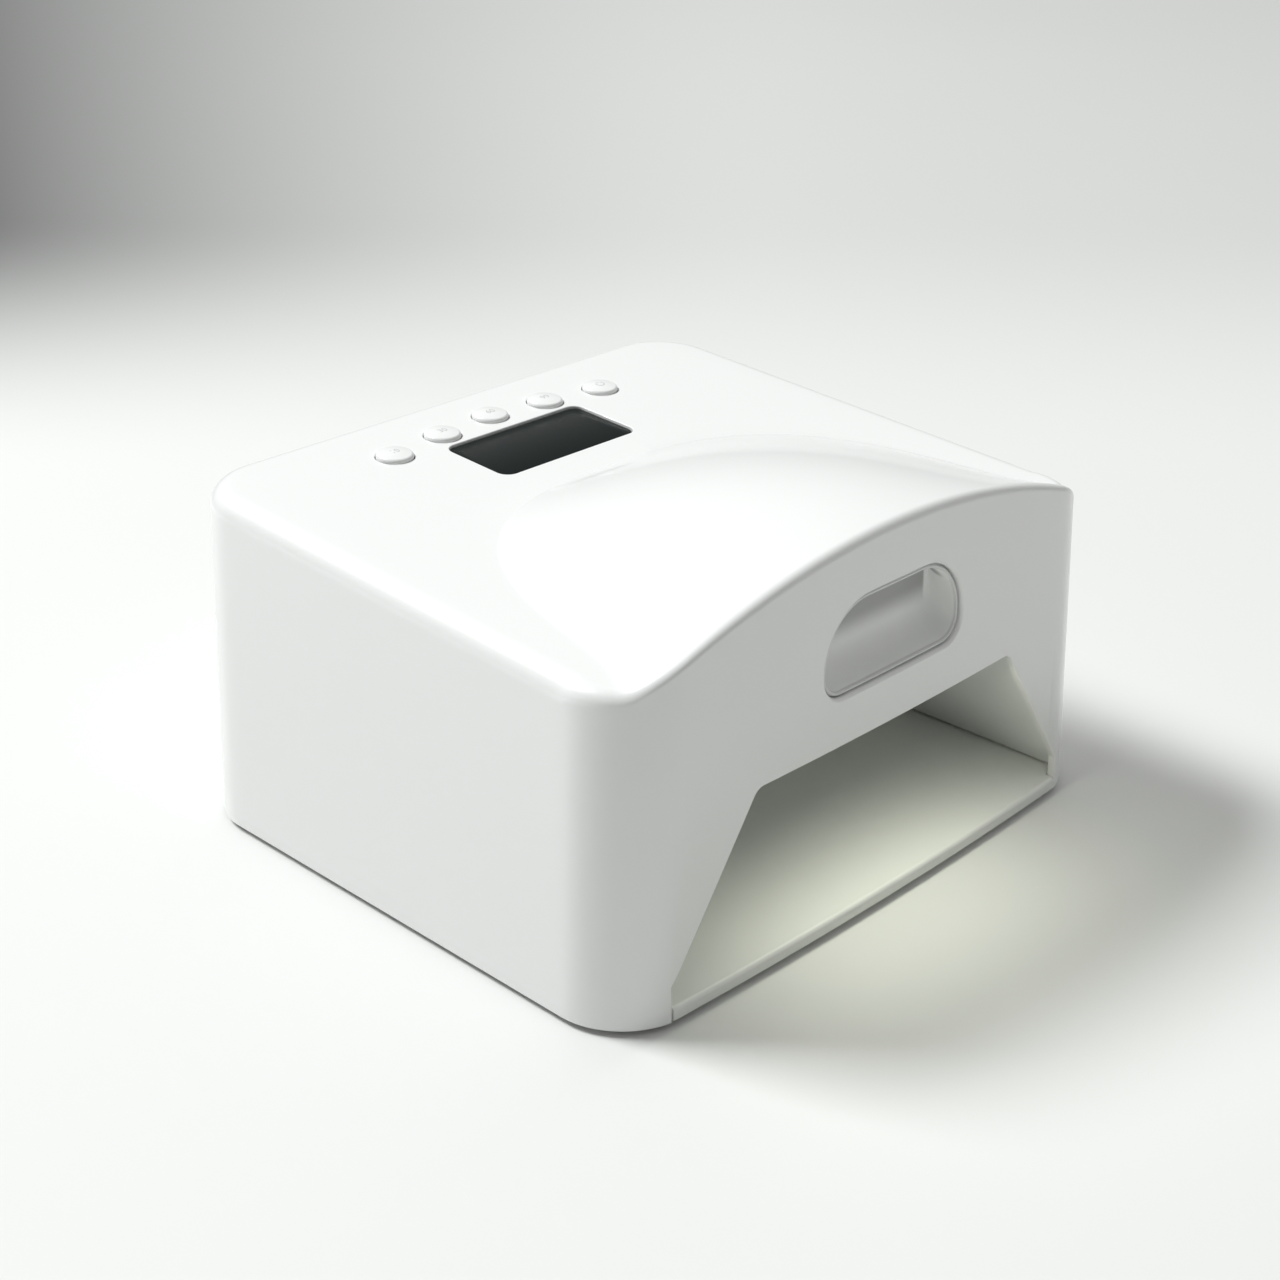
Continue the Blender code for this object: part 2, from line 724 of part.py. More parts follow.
def add_pegs(places, profile, steps):
    """Many turned pegs in one mesh, for use as a tool."""
    circle = [(math.cos(math.tau * k / steps), math.sin(math.tau * k / steps)) for k in range(steps)]
    work = bmesh.new()
    for x, y in places:
        loops = []
        for radius, height in profile:
            loops.append([(x + radius * across, y + radius * up, height) for across, up in circle])
        add_loft(work, loops)
    return to_mesh(work)


def chamber_liner(material, frames, places):
    """The reflector: a tunnel on a flange, with a hole for each LED."""
    stations = outline_stations()
    outer = tunnel_solid(LINER_WALL, TRAY_TOP + TRAY_GAP, 0)
    liner = place("chamber_liner", outer, material)
    height = FLANGE_HEIGHT - TABLE_GAP
    flange = loft([
        body_loop(stations, height + level, SHELL_WALL + GAP, FLANGE_HEIGHT + level)
        for level in (0, FLANGE_THICKNESS)
    ])
    shape(liner, place("flange_tool", flange), "UNION")
    hollow = tunnel_solid(0, TRAY_TOP - CUT_OVERRUN, CUT_OVERRUN * 2)
    shape(liner, place("hollow_cutter", hollow), "DIFFERENCE")
    for side, frame in frames.items():
        radius = LED_RADIUS + LED_HOLE_GAP
        profile = [(radius, -CUT_OVERRUN), (radius, LINER_WALL + CUT_OVERRUN)]
        drill = place("%s_led_cutter" % side, add_pegs(places[side], profile, LED_STEPS), None, frame)
        shape(liner, drill, "DIFFERENCE")
    radius = SENSOR_RADIUS + GAP
    profile = [(radius, -CUT_OVERRUN), (radius, LINER_WALL + CUT_OVERRUN)]
    hole = add_pegs([(0, REAR_LED_Z - SENSOR_Z)], profile, SCREW_STEPS)
    shape(liner, place("sensor_cutter", hole, None, frames["rear"]), "DIFFERENCE")
    radius = SCREW_RADIUS + GAP
    flange_top = FLANGE_HEIGHT + FLANGE_THICKNESS
    profile = [(radius, FLANGE_HEIGHT - CUT_OVERRUN), (radius, flange_top + CUT_OVERRUN)]
    shape(liner, place("flange_drill", add_pegs(screw_places(), profile, SCREW_STEPS)), "DIFFERENCE")
    return liner


def led_board(side, material, frame, places):
    """A board that lies on the liner, with its LEDs reaching through the liner's holes."""
    low = LINER_WALL + GAP
    margin = LED_BOARD_MARGIN
    xs = [x for x, y in places]
    ys = [y for x, y in places]
    low_x, high_x = min(xs) - margin, max(xs) + margin
    low_y, high_y = min(ys) - margin, max(ys) + margin
    outline = rectangle(low_x, low_y, high_x, high_y, LED_BOARD_CORNER)
    board = place("led_board_%s" % side, slab(outline, low, low + LED_BOARD_THICKNESS), material, frame)
    profile = [
        (LED_RADIUS / 2, -LED_PROUD),
        (LED_RADIUS * LED_SHOULDER_SHARE, -LED_PROUD / 2),
        (LED_RADIUS, 0),
        (LED_RADIUS, low + LED_BOARD_THICKNESS / 2),
    ]
    beads = place("%s_beads" % side, add_pegs(places, profile, LED_STEPS), None, frame)
    shape(board, beads, "UNION")
    return board


def hand_sensor(material, frame):
    """The infrared eye that starts the lamp, seen through the liner's rear wall."""
    low = LINER_WALL + GAP
    profile = [
        (SENSOR_RADIUS * SENSOR_TIP_SHARE, -SENSOR_COLLAR / 2),
        (SENSOR_RADIUS, 0),
        (SENSOR_RADIUS, low),
        (SENSOR_RADIUS + SENSOR_COLLAR, low),
        (SENSOR_RADIUS + SENSOR_COLLAR, low + SENSOR_COLLAR),
        (SENSOR_RADIUS, low + SENSOR_COLLAR),
        (SENSOR_RADIUS, low + SENSOR_COLLAR + SENSOR_TAIL),
    ]
    eye = turned(profile, SCREW_STEPS)
    return place("hand_sensor", eye, material, frame, (0, REAR_LED_Z - SENSOR_Z, 0))


def pocket_loop(share, reach):
    """A loop of the scooped pocket at a share of its depth, moved outwards by reach."""
    turn = math.pi / 2 * share
    depth = POCKET_DEPTH * math.sin(turn)
    inset = POCKET_SEAM + POCKET_WALL
    drawn_in = inset + POCKET_DRAFT * share + POCKET_EDGE * (1 - math.cos(turn)) ** 2
    side = SLOT_WIDTH / 2 - drawn_in
    high = SLOT_BOTTOM + SLOT_HEIGHT - drawn_in
    low = SLOT_BOTTOM + inset + POCKET_SCOOP * (1 - math.cos(turn)) ** POCKET_SCOOP_POWER
    lower_radius = min(SLOT_LOWER_RADIUS - inset, (high - low) / 2 - POCKET_DRAFT)
    upper_radius = min(SLOT_UPPER_RADIUS - inset, (high - low) - lower_radius - POCKET_DRAFT)
    outline = rounded_outline([
        (-side - reach, low - reach, lower_radius + reach),
        (side + reach, low - reach, lower_radius + reach),
        (side + reach, high + reach, upper_radius + reach),
        (-side - reach, high + reach, upper_radius + reach),
    ])
    back = depth + reach * share
    return [(point.x, behind_front(point, POCKET_BACKSET) + back, point.y) for point in outline]


def behind_front(point, depth):
    """Y at a depth behind the front skin, at an outline's point in XZ."""
    return front_face_y(point.x, point.y - TABLE_GAP, depth)


def handle_pocket(material):
    """The finger pocket: a scooped cup whose lip stands in the slot, with a flange behind the front wall."""
    shares = [step / POCKET_STEPS for step in range(POCKET_STEPS + 1)]
    cup = place("handle_pocket", loft([pocket_loop(share, POCKET_WALL) for share in shares]), material)
    rim = slot_outline(-POCKET_FLANGE)
    levels = (0, POCKET_WALL)
    flange = loft([
        [(point.x, behind_front(point, SHELL_WALL + GAP) + level, point.y) for point in rim]
        for level in levels
    ])
    shape(cup, place("pocket_flange_tool", flange), "UNION")
    inner = [pocket_loop(share, 0) for share in shares]
    inner.insert(0, [(x, y - CUT_OVERRUN, z) for x, y, z in inner[0]])
    shape(cup, place("pocket_cutter", loft(inner)), "DIFFERENCE")
    return cup


def display(window_finish, lcd_finish, panel):
    """The dark window and the display module behind it."""
    half_width = WINDOW_WIDTH / 2
    half_depth = WINDOW_DEPTH / 2
    outline = rectangle(-half_width, -half_depth, half_width, half_depth, WINDOW_CORNER)
    window_bottom = WINDOW_RECESS + WINDOW_THICKNESS
    place("display_window", slab(outline, -window_bottom, -WINDOW_RECESS), window_finish, panel)
    x = half_width - LCD_MARGIN
    y = half_depth - LCD_MARGIN
    outline = rectangle(-x, -y, x, y, BOARD_CORNER / 2)
    place("lcd_module", slab(outline, -BOARD_TOP + GAP, -window_bottom - GAP), lcd_finish, panel)


def control_board(material, panel):
    """The board under the display and the buttons."""
    half = BOARD_WIDTH / 2
    outline = rectangle(-half, -BOARD_FRONT, half, BOARD_REAR, BOARD_CORNER)
    place("control_board", slab(outline, -BOARD_TOP - BOARD_THICKNESS, -BOARD_TOP), material, panel)


def buttons(cap_finish, plunger_finish, switch_finish, panel):
    """Each cap presses a plunger into a small switch on the board."""
    collar_top = -SHELL_WALL - GAP
    collar_bottom = collar_top - BUTTON_COLLAR
    shoulder = BUTTON_PROUD - BUTTON_CROWN - BUTTON_EDGE
    profile = [
        (BUTTON_STEM_RADIUS, -BUTTON_STEM_END),
        (BUTTON_STEM_RADIUS, collar_bottom),
        (BUTTON_RADIUS + BUTTON_COLLAR_REACH, collar_bottom),
        (BUTTON_RADIUS + BUTTON_COLLAR_REACH, collar_top),
        (BUTTON_RADIUS, collar_top),
        (BUTTON_RADIUS, shoulder),
    ]
    for step in range(1, ROUND_STEPS):
        turn = math.pi / 2 * step / ROUND_STEPS
        radius = BUTTON_RADIUS - BUTTON_EDGE * (1 - math.cos(turn))
        profile.append((radius, shoulder + BUTTON_EDGE * math.sin(turn)))
    crown_radius = BUTTON_RADIUS - BUTTON_EDGE
    for share in CROWN_SHARES:
        profile.append((crown_radius * share, BUTTON_PROUD - BUTTON_CROWN * share ** 2))
    cap_mesh = turned(profile, BUTTON_STEPS)
    plunger_top = -BUTTON_STEM_END - GAP
    plunger_bottom = -SWITCH_TOP - PLUNGER_SUNK
    plunger = turned([(PLUNGER_RADIUS, plunger_bottom), (PLUNGER_RADIUS, plunger_top)], SCREW_STEPS)
    half = SWITCH_WIDTH / 2
    outline = rectangle(-half, -half, half, half, 0)
    well = [
        (PLUNGER_RADIUS + GAP, plunger_bottom - BUTTON_TRAVEL - GAP),
        (PLUNGER_RADIUS + GAP, -SWITCH_TOP + CUT_OVERRUN),
    ]
    for index in range(BUTTON_COUNT):
        number = index + 1
        x, y = button_place(index)
        axis = empty("button_axis_%d" % number, (x, y, 0), (0, 0, 0), panel)
        place("button_%d" % number, cap_mesh.copy(), cap_finish, axis)
        place("switch_plunger_%d" % number, plunger.copy(), plunger_finish, axis)
        body = slab(outline, -BOARD_TOP + GAP, -SWITCH_TOP)
        switch = place("tact_switch_%d" % number, body, switch_finish, axis)
        drill = place("well_cutter_%d" % number, turned(well, SCREW_STEPS), None, axis)
        shape(switch, drill, "DIFFERENCE")


def battery_cells():
    """Plan places of the four cells: two rows, end to end in pairs."""
    x = CELL_LENGTH / 2 + CELL_TERMINAL + CELL_GAP
    y = CELL_RADIUS + CELL_GAP / 2
    return [(side * x, CELL_ROWS_Y + end * y) for end in (-1, 1) for side in (-1, 1)]


def battery_pack(cell_finish, holder_finish):
    """Four cells in an open holder that stands on the flange."""
    half_length = CELL_LENGTH / 2
    profile = [
        (CELL_RADIUS, -half_length),
        (CELL_RADIUS, half_length),
        (CELL_TERMINAL_RADIUS, half_length),
        (CELL_TERMINAL_RADIUS, half_length + CELL_TERMINAL),
    ]
    cell = turned(profile, CELL_STEPS)
    for number, (x, y) in enumerate(battery_cells(), 1):
        piece = place("battery_cell_%d" % number, cell.copy(), cell_finish, None, (x, y, CELL_AXIS_Z))
        piece.rotation_euler = (0, math.pi / 2, 0)
    inner_x = CELL_LENGTH + CELL_TERMINAL * 2 + CELL_GAP * 2
    inner_y = HOLDER_INNER_HALF
    outer_x = inner_x + HOLDER_WALL
    outer_y = inner_y + HOLDER_WALL
    middle = (0, CELL_ROWS_Y, HOLDER_FLOOR)
    outer = rectangle(-outer_x, -outer_y, outer_x, outer_y, HOLDER_CORNER)
    holder = place("battery_holder", slab(outer, 0, HOLDER_HEIGHT), holder_finish, None, middle)
    inner = rectangle(-inner_x, -inner_y, inner_x, inner_y, 0)
    well = slab(inner, HOLDER_WALL, HOLDER_HEIGHT + CUT_OVERRUN)
    shape(holder, place("holder_cutter", well, None, None, middle), "DIFFERENCE")


def jack_frame(name):
    """The charging jack's axis: local Z points into the body from the rear face."""
    half, front, rear = body_sides(JACK_Z - TABLE_GAP, 0)
    return empty(name, (0, rear, JACK_Z), (math.pi / 2, 0, 0))


def dc_jack(material):
    """A barrel socket: its collar fills the hole in the rear wall."""
    frame = jack_frame("jack_frame")
    shoulder = SHELL_WALL + GAP
    half = JACK_BODY_WIDTH / 2
    outline = rectangle(-half, -half, half, half, 0)
    jack = place("dc_jack", slab(outline, shoulder, shoulder + JACK_BODY_LENGTH), material, frame)
    collar = turned([(JACK_COLLAR_RADIUS, JACK_RECESS), (JACK_COLLAR_RADIUS, shoulder + GAP)], BUTTON_STEPS)
    shape(jack, place("jack_collar_tool", collar, None, frame), "UNION")
    bore = turned([(JACK_BORE_RADIUS, -CUT_OVERRUN), (JACK_BORE_RADIUS, JACK_BORE_DEPTH)], BUTTON_STEPS)
    shape(jack, place("jack_bore_cutter", bore, None, frame), "DIFFERENCE")
    profile = [(JACK_PIN_RADIUS, JACK_PIN_BACKSET), (JACK_PIN_RADIUS, JACK_BORE_DEPTH + GAP)]
    pin = turned(profile, SCREW_STEPS)
    shape(jack, place("jack_pin_tool", pin, None, frame), "UNION")


def liner_screws(material):
    """Four screws that hold the liner up against the housing's bosses."""
    under_head = FLANGE_HEIGHT - GAP
    profile = [
        (SCREW_HEAD_RADIUS * SCREW_CROWN_SHARE, under_head - SCREW_HEAD),
        (SCREW_HEAD_RADIUS, under_head - SCREW_HEAD / 2),
        (SCREW_HEAD_RADIUS, under_head),
        (SCREW_RADIUS, under_head),
        (SCREW_RADIUS, under_head + SCREW_LENGTH - SCREW_RADIUS),
        (SCREW_RADIUS * SCREW_POINT_SHARE, under_head + SCREW_LENGTH),
    ]
    low = under_head - SCREW_HEAD
    drive = [(SCREW_DRIVE_RADIUS, low - CUT_OVERRUN), (SCREW_DRIVE_RADIUS, low + SCREW_DRIVE_DEPTH)]
    for number, (x, y) in enumerate(screw_places(), 1):
        screw = place("liner_screw_%d" % number, turned(profile, SCREW_STEPS), material, None, (x, y, 0))
        recess = place("screw_drive_%d" % number, turned(drive, ROUND_STEPS), None, None, (x, y, 0))
        shape(screw, recess, "DIFFERENCE")


def tray_outline(stations):
    """The tray's plan: inside the walls, and out to the front face between the legs."""
    inner_inset = SHELL_WALL + TRAY_GAP
    tongue = TUNNEL_BOTTOM_HALF - TRAY_GAP
    points = [(-tongue, front_face_y(tongue, 0, 0))]
    for station in stations:
        x, y = body_point(station, 0, 0)
        if station[3] < 0 and abs(x) < tongue:
            points.append((x, y))
    points.sort()
    points.append((tongue, front_face_y(tongue, 0, 0)))
    points.append((tongue, front_face_y(tongue, 0, inner_inset)))
    around = []
    for station in stations:
        x, y = body_point(station, 0, inner_inset)
        if station[3] >= 0 or abs(x) > tongue:
            around.append((x, y))
    start = next(index for index, (x, y) in enumerate(around) if x > tongue)
    points += around[start:] + around[:start]
    points.append((-tongue, front_face_y(tongue, 0, inner_inset)))
    return points


def base_tray(material):
    """The lift-away tray: its front edge is rounded over, and magnets sit in its top."""
    low = TABLE_GAP + GAP
    stations = outline_stations()
    outline = tray_outline(stations)
    work = bmesh.new()
    loops = [[(x, y, height) for x, y in outline] for height in (low, TRAY_TOP)]
    add_loft(work, loops)
    tongue = TUNNEL_BOTTOM_HALF - TRAY_GAP
    half, front_y, rear_y = body_sides(0, SHELL_WALL)

    def on_lip(vert):
        return vert.co.z > low and vert.co.y < front_y and abs(vert.co.x) <= tongue + GAP

    lip_edges = [
        edge for edge in work.edges
        if all(on_lip(vert) for vert in edge.verts)
        and abs(edge.verts[0].co.x - edge.verts[1].co.x) > GAP
    ]
    bmesh.ops.bevel(work, geom=lip_edges, offset=TRAY_LIP, segments=LIP_STEPS, profile=0.5, affect="EDGES")
    tray = place("base_tray", to_mesh(work), material)
    shape(tray, place("tray_recess_cutter", tray_recesses(low)), "DIFFERENCE")
    radius = MAGNET_RADIUS + GAP
    profile = [(radius, TRAY_TOP - MAGNET_HEIGHT - GAP * 2), (radius, TRAY_TOP + CUT_OVERRUN)]
    shape(tray, place("magnet_cutter", add_pegs(magnet_places(), profile, CELL_STEPS)), "DIFFERENCE")
    return tray


def tray_recesses(low):
    """The hollows under the tray, with a rib left between each two."""
    half = BODY_WIDTH / 2 - TRAY_BORDER - FOOT_RADIUS
    front = FRONT_Y + TRAY_BORDER
    rear = REAR_Y - TRAY_BORDER
    bays = TRAY_RIBS + 1
    width = (half * 2 - TRAY_RIB * TRAY_RIBS) / bays
    heights = (low - CUT_OVERRUN, TRAY_TOP - TRAY_SKIN)
    work = bmesh.new()
    for bay in range(bays):
        left = -half + bay * (width + TRAY_RIB)
        outline = rectangle(left, front, left + width, rear, TRAY_RECESS_CORNER)
        add_loft(work, [[(p.x, p.y, height) for p in outline] for height in heights])
    return to_mesh(work)


def magnet_places():
    """Plan places of the magnets, which sit under the strikers."""
    return [(side * STRIKER_X, end * MAGNET_Y) for end in (-1, 1) for side in (-1, 1)]


def magnets_and_strikers(magnet_finish, striker_finish):
    """Magnets in the tray pull on steel discs under the liner's flange."""
    top = TRAY_TOP - GAP
    magnet = turned([(MAGNET_RADIUS, top - MAGNET_HEIGHT), (MAGNET_RADIUS, top)], CELL_STEPS)
    disc_low = TRAY_TOP + GAP
    disc = turned([(STRIKER_RADIUS, disc_low), (STRIKER_RADIUS, FLANGE_HEIGHT - GAP)], CELL_STEPS)
    for number, (x, y) in enumerate(magnet_places(), 1):
        place("magnet_%d" % number, magnet.copy(), magnet_finish, None, (x, y, 0))
        place("striker_%d" % number, disc.copy(), striker_finish, None, (x, y, 0))


def feet(material):
    """Four soft feet under the tray."""
    profile = [(FOOT_RADIUS, 0), (FOOT_RADIUS, FOOT_HEIGHT)]
    foot = turned(profile, BUTTON_STEPS)
    x = BODY_WIDTH / 2 - FOOT_INSET_X
    y = BODY_DEPTH / 2 - FOOT_INSET_Y
    number = 0
    for end in (-1, 1):
        for side in (-1, 1):
            number += 1
            place("foot_%d" % number, foot.copy(), material, None, (side * x, end * y, 0))


def build():
    """Make the whole lamp."""
    clear_scene()
    white = finish("gloss_white", (0.90, 0.91, 0.91), 0.28)
    liner_white = finish("liner_white", (0.80, 0.81, 0.80), 0.45)
    tray_white = finish("tray_white", (0.84, 0.85, 0.83), 0.40)
    window_black = finish("window_black", (0.012, 0.014, 0.014), 0.08)
    lcd_grey = finish("lcd_grey", (0.25, 0.28, 0.27), 0.35)
    board_green = finish("board_green", (0.02, 0.16, 0.07), 0.45)
    board_white = finish("board_white", (0.75, 0.76, 0.74), 0.5)
    dark_plastic = finish("dark_plastic", (0.03, 0.03, 0.035), 0.4)
    wrap_blue = finish("wrap_blue", (0.05, 0.16, 0.35), 0.35)
    steel = finish("steel", (0.62, 0.62, 0.60), 0.35, 1.0)
    nickel = finish("nickel", (0.70, 0.68, 0.64), 0.25, 1.0)
    rubber = finish("rubber", (0.05, 0.05, 0.05), 0.8)
    panel = panel_frame(None)
    frames = led_frames()
    places = led_places()
    outer_housing(white, panel)
    chamber_liner(liner_white, frames, places)
    for side, frame in frames.items():
        led_board(side, board_white, frame, places[side])
    hand_sensor(dark_plastic, frames["rear"])
    handle_pocket(white)
    display(window_black, lcd_grey, panel)
    control_board(board_green, panel)
    buttons(white, dark_plastic, dark_plastic, panel)
    battery_pack(wrap_blue, dark_plastic)
    dc_jack(dark_plastic)
    liner_screws(steel)
    base_tray(tray_white)
    magnets_and_strikers(nickel, steel)
    feet(rubber)


build()
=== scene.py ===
"""Looks for the LED nail lamp: fine meshes, materials, light and camera.

Metres, +Z up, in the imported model's frame. The body's surfaces follow the same
formulas as the solids, with more points and with rounded edges.
"""

import json
import math

import bpy
import bmesh
from mathutils import Matrix, Vector

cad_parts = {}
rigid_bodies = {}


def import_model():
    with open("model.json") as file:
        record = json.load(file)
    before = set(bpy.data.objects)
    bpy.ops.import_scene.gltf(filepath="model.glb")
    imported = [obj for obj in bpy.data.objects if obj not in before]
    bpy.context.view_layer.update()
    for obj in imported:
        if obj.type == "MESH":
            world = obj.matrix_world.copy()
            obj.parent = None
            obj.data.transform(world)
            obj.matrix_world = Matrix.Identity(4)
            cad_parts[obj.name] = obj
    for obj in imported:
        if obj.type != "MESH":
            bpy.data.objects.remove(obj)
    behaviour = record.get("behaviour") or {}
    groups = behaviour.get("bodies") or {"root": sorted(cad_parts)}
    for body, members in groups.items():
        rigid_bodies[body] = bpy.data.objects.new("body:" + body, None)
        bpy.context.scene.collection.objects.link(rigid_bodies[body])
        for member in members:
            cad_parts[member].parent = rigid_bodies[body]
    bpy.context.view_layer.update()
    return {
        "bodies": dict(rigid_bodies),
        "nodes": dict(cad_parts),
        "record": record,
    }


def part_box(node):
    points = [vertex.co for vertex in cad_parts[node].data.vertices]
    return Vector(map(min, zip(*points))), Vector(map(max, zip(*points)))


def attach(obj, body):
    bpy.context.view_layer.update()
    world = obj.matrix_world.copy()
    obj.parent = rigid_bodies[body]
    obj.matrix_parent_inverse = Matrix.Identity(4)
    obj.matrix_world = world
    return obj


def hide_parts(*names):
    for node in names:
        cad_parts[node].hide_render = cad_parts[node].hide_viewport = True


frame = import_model()

# Body: the one-piece outer housing
BODY_WIDTH = 0.230
BODY_DEPTH = 0.203
FRONT_BOW = 0.0035
CORNER_RADIUS = 0.024
FRONT_HEIGHT = 0.1045
REAR_RISE = 0.012
SIDE_DRAFT = 0.004
FRONT_DRAFT = 0.0018
REAR_DRAFT = 0.002
SHELL_WALL = 0.0025
RIM_RADIUS = 0.007
FRONT_RIM_RADIUS = 0.003
RIM_BLEND_POWER = 0.6
TABLE_GAP = 0.002
ARCH_RISE = 0.02377
ARCH_REAR_SPACE = 0.0825
ARCH_SHOULDER = 0.018
ARCH_OUTLINE_POWER = 2.7
ARCH_FLARE_POWER = 8
ARCH_CREASE_SHARE = 0.012
ARCH_FOOT_SHARE = 0.11
ARCH_FOOT_POWER = 6
ARCH_MIDDLE_SHARE = 0.33

# Clearances and overruns
GAP = 0.0003
TRAY_GAP = 0.0005
CUT_OVERRUN = 0.004
MERGE = 0.000001

# Hand tunnel
TUNNEL_KNEE = 0.014
TUNNEL_LEAN = 0.67
TUNNEL_CORNER = 0.005
MOUTH_LIP = 0.0008
TUNNEL_END_Y = 0.05025
TUNNEL_END_RADIUS = 0.018
LEG_WIDTH = 0.0205
BRIDGE_HEIGHT = 0.0158
LINER_WALL = 0.0018
FLANGE_HEIGHT = 0.010
FLANGE_THICKNESS = 0.002

# Handle pocket in the front face
SLOT_WIDTH = 0.065
SLOT_HEIGHT = 0.030
SLOT_DROP = 0.0235
SLOT_LOWER_RADIUS = 0.0085
SLOT_UPPER_RADIUS = 0.020
POCKET_DEPTH = 0.010
POCKET_WALL = 0.0012
POCKET_BACKSET = 0.0012
POCKET_SEAM = 0.0005
POCKET_FLANGE = 0.003
POCKET_DRAFT = 0.0012
POCKET_EDGE = 0.0008
POCKET_SCOOP = 0.011
POCKET_SCOOP_POWER = 1.1

# Base tray
TRAY_THICKNESS = 0.0045
TRAY_LIP = 0.0015
TRAY_UNDER_LIP = 0.0007
TRAY_SKIN = 0.002
TRAY_BORDER = 0.024
TRAY_RECESS_CORNER = 0.012
TRAY_RIB = 0.002
TRAY_RIBS = 3
FOOT_RADIUS = 0.0065
MAGNET_RADIUS = 0.0035
CORNER_NUMBERS = range(1, 5)

# Display and buttons, in the plane of the sloping top
PANEL_REAR_SPACE = 0.05275
WINDOW_WIDTH = 0.060
WINDOW_DEPTH = 0.030
WINDOW_CORNER = 0.004
WINDOW_THICKNESS = 0.002
WINDOW_RECESS = 0.0008
BUTTON_COUNT = 5
BUTTON_RADIUS = 0.0063
BUTTON_PROUD = 0.0019
BUTTON_EDGE = 0.0012
BUTTON_CROWN = 0.0005
BUTTON_PITCH = 0.0236
BUTTON_ROW = 0.026
BUTTON_ROW_SAG = 0.0058
BUTTON_SAG_SHARES = (1.0, 0.4, 0.0, 0.4, 1.0)
BUTTON_HOLE_GAP = 0.00035
BUTTON_COLLAR = 0.001
BUTTON_COLLAR_REACH = 0.001
BUTTON_STEM_RADIUS = 0.0025
BUTTON_STEM_LENGTH = 0.0014
BUTTON_TIMES = ("10", "30", "60", "99")
MARK_SIZE = 0.0036
MARK_PROUD = 0.00002
MARK_SUNK = 0.0001
MARK_RING = 0.0015
MARK_STROKE = 0.0004
MARK_BAR_SHARE = 1.4
MARK_OPEN = math.radians(38)

# LED boards
LED_RADIUS = 0.0024
LED_PROUD = 0.0012
LED_HOLE_GAP = 0.0004
LED_BOARD_THICKNESS = 0.0016
LED_BOARD_MARGIN = 0.007
LED_BOARD_CORNER = 0.002
CEILING_ROWS = 3
CEILING_COLUMNS = 4
CEILING_SIDE_SPACE = 0.0182
SIDE_LEDS = 4
ROW_START_SPACE = 0.045
ROW_END_SPACE = 0.015
REAR_LEDS = 4
REAR_SIDE_SPACE = 0.0272
REAR_LED_Z = 0.031
SENSOR_Z = 0.0185
SENSOR_RADIUS = 0.003
SCREW_RADIUS = 0.0015
SCREW_INSET_Y = 0.0395
SCREW_BOSS_RADIUS = 0.0045
SCREW_BOSS_LENGTH = 0.024
BOSS_WALL_SHARE = 0.8

# Charging jack in the rear wall
JACK_Z = 0.0423
JACK_COLLAR_RADIUS = 0.0045
JACK_BORE_RADIUS = 0.0029
JACK_BORE_DEPTH = 0.009
JACK_PIN_RADIUS = 0.001
JACK_PIN_BACKSET = 0.001
JACK_BODY_LENGTH = 0.012
JACK_RECESS = 0.0003

# Rounded edges of the openings
FOOT_EDGE = 0.0004
OPENING_EDGE = 0.0006
SLOT_EDGE = 0.0011
WINDOW_EDGE = 0.0004
BUTTON_HOLE_EDGE = 0.0003
SMALL_EDGE = 0.0002
SEAM_SHOWN = 0.0003
EDGE_START = math.radians(18)
HOUSING_SHARP = math.radians(15)
SHARP_ANGLE = math.radians(30)
TRAY_SHARP = math.radians(35)
DOME_SHARP = math.radians(40)

# How finely the curves are faceted
CORNER_STEPS = 20
FRONT_STEPS = 48
REAR_STEPS = 32
SIDE_STEPS = 40
RIM_STEPS = 12
EDGE_STEPS = 6
ROUND_STEPS = 12
TUNNEL_DIVISIONS = 40
SLOT_DIVISIONS = 12
POCKET_STEPS = 28
CIRCLE_STEPS = 96
LED_STEPS = 28
OUTER_RINGS = 7
FOOT_RINGS = 8
ARCH_RINGS = 18
OUTER_SHARE_MAX = 0.985
HALVINGS = 30

# Places that follow from the sizes above
FRONT_Y = (FRONT_BOW - BODY_DEPTH) / 2
REAR_Y = FRONT_Y + BODY_DEPTH
TOP_HALF_WIDTH = BODY_WIDTH / 2 - SIDE_DRAFT
TOP_SLOPE = REAR_RISE / BODY_DEPTH
ARCH_LENGTH = BODY_DEPTH - ARCH_REAR_SPACE
ARCH_HALF_WIDTH = TOP_HALF_WIDTH - ARCH_SHOULDER
ARCH_MIDDLE_Y = FRONT_Y + ARCH_LENGTH * ARCH_MIDDLE_SHARE
SLOT_BOTTOM = FRONT_HEIGHT - SLOT_DROP
TUNNEL_TOP = SLOT_BOTTOM - BRIDGE_HEIGHT
TUNNEL_BOTTOM_HALF = BODY_WIDTH / 2 - LEG_WIDTH
TUNNEL_TOP_HALF = TUNNEL_BOTTOM_HALF - TUNNEL_LEAN * (TUNNEL_TOP - TUNNEL_KNEE)
ROW_START_Y = FRONT_Y + ROW_START_SPACE
ROW_END_Y = TUNNEL_END_Y - TUNNEL_END_RADIUS - ROW_END_SPACE
TRAY_LOW = TABLE_GAP + GAP
TRAY_TOP = TRAY_LOW + TRAY_THICKNESS
PANEL_Y = REAR_Y - PANEL_REAR_SPACE
SCREW_Y = BODY_DEPTH / 2 - SCREW_INSET_Y


def to_mesh(work):
    """Turn a bmesh into a triangulated mesh with its faces pointing out."""
    bmesh.ops.remove_doubles(work, verts=work.verts, dist=MERGE)
    bmesh.ops.recalc_face_normals(work, faces=work.faces)
    bmesh.ops.triangulate(work, faces=work.faces)
    mesh = bpy.data.meshes.new("mesh")
    work.to_mesh(mesh)
    work.free()
    return mesh


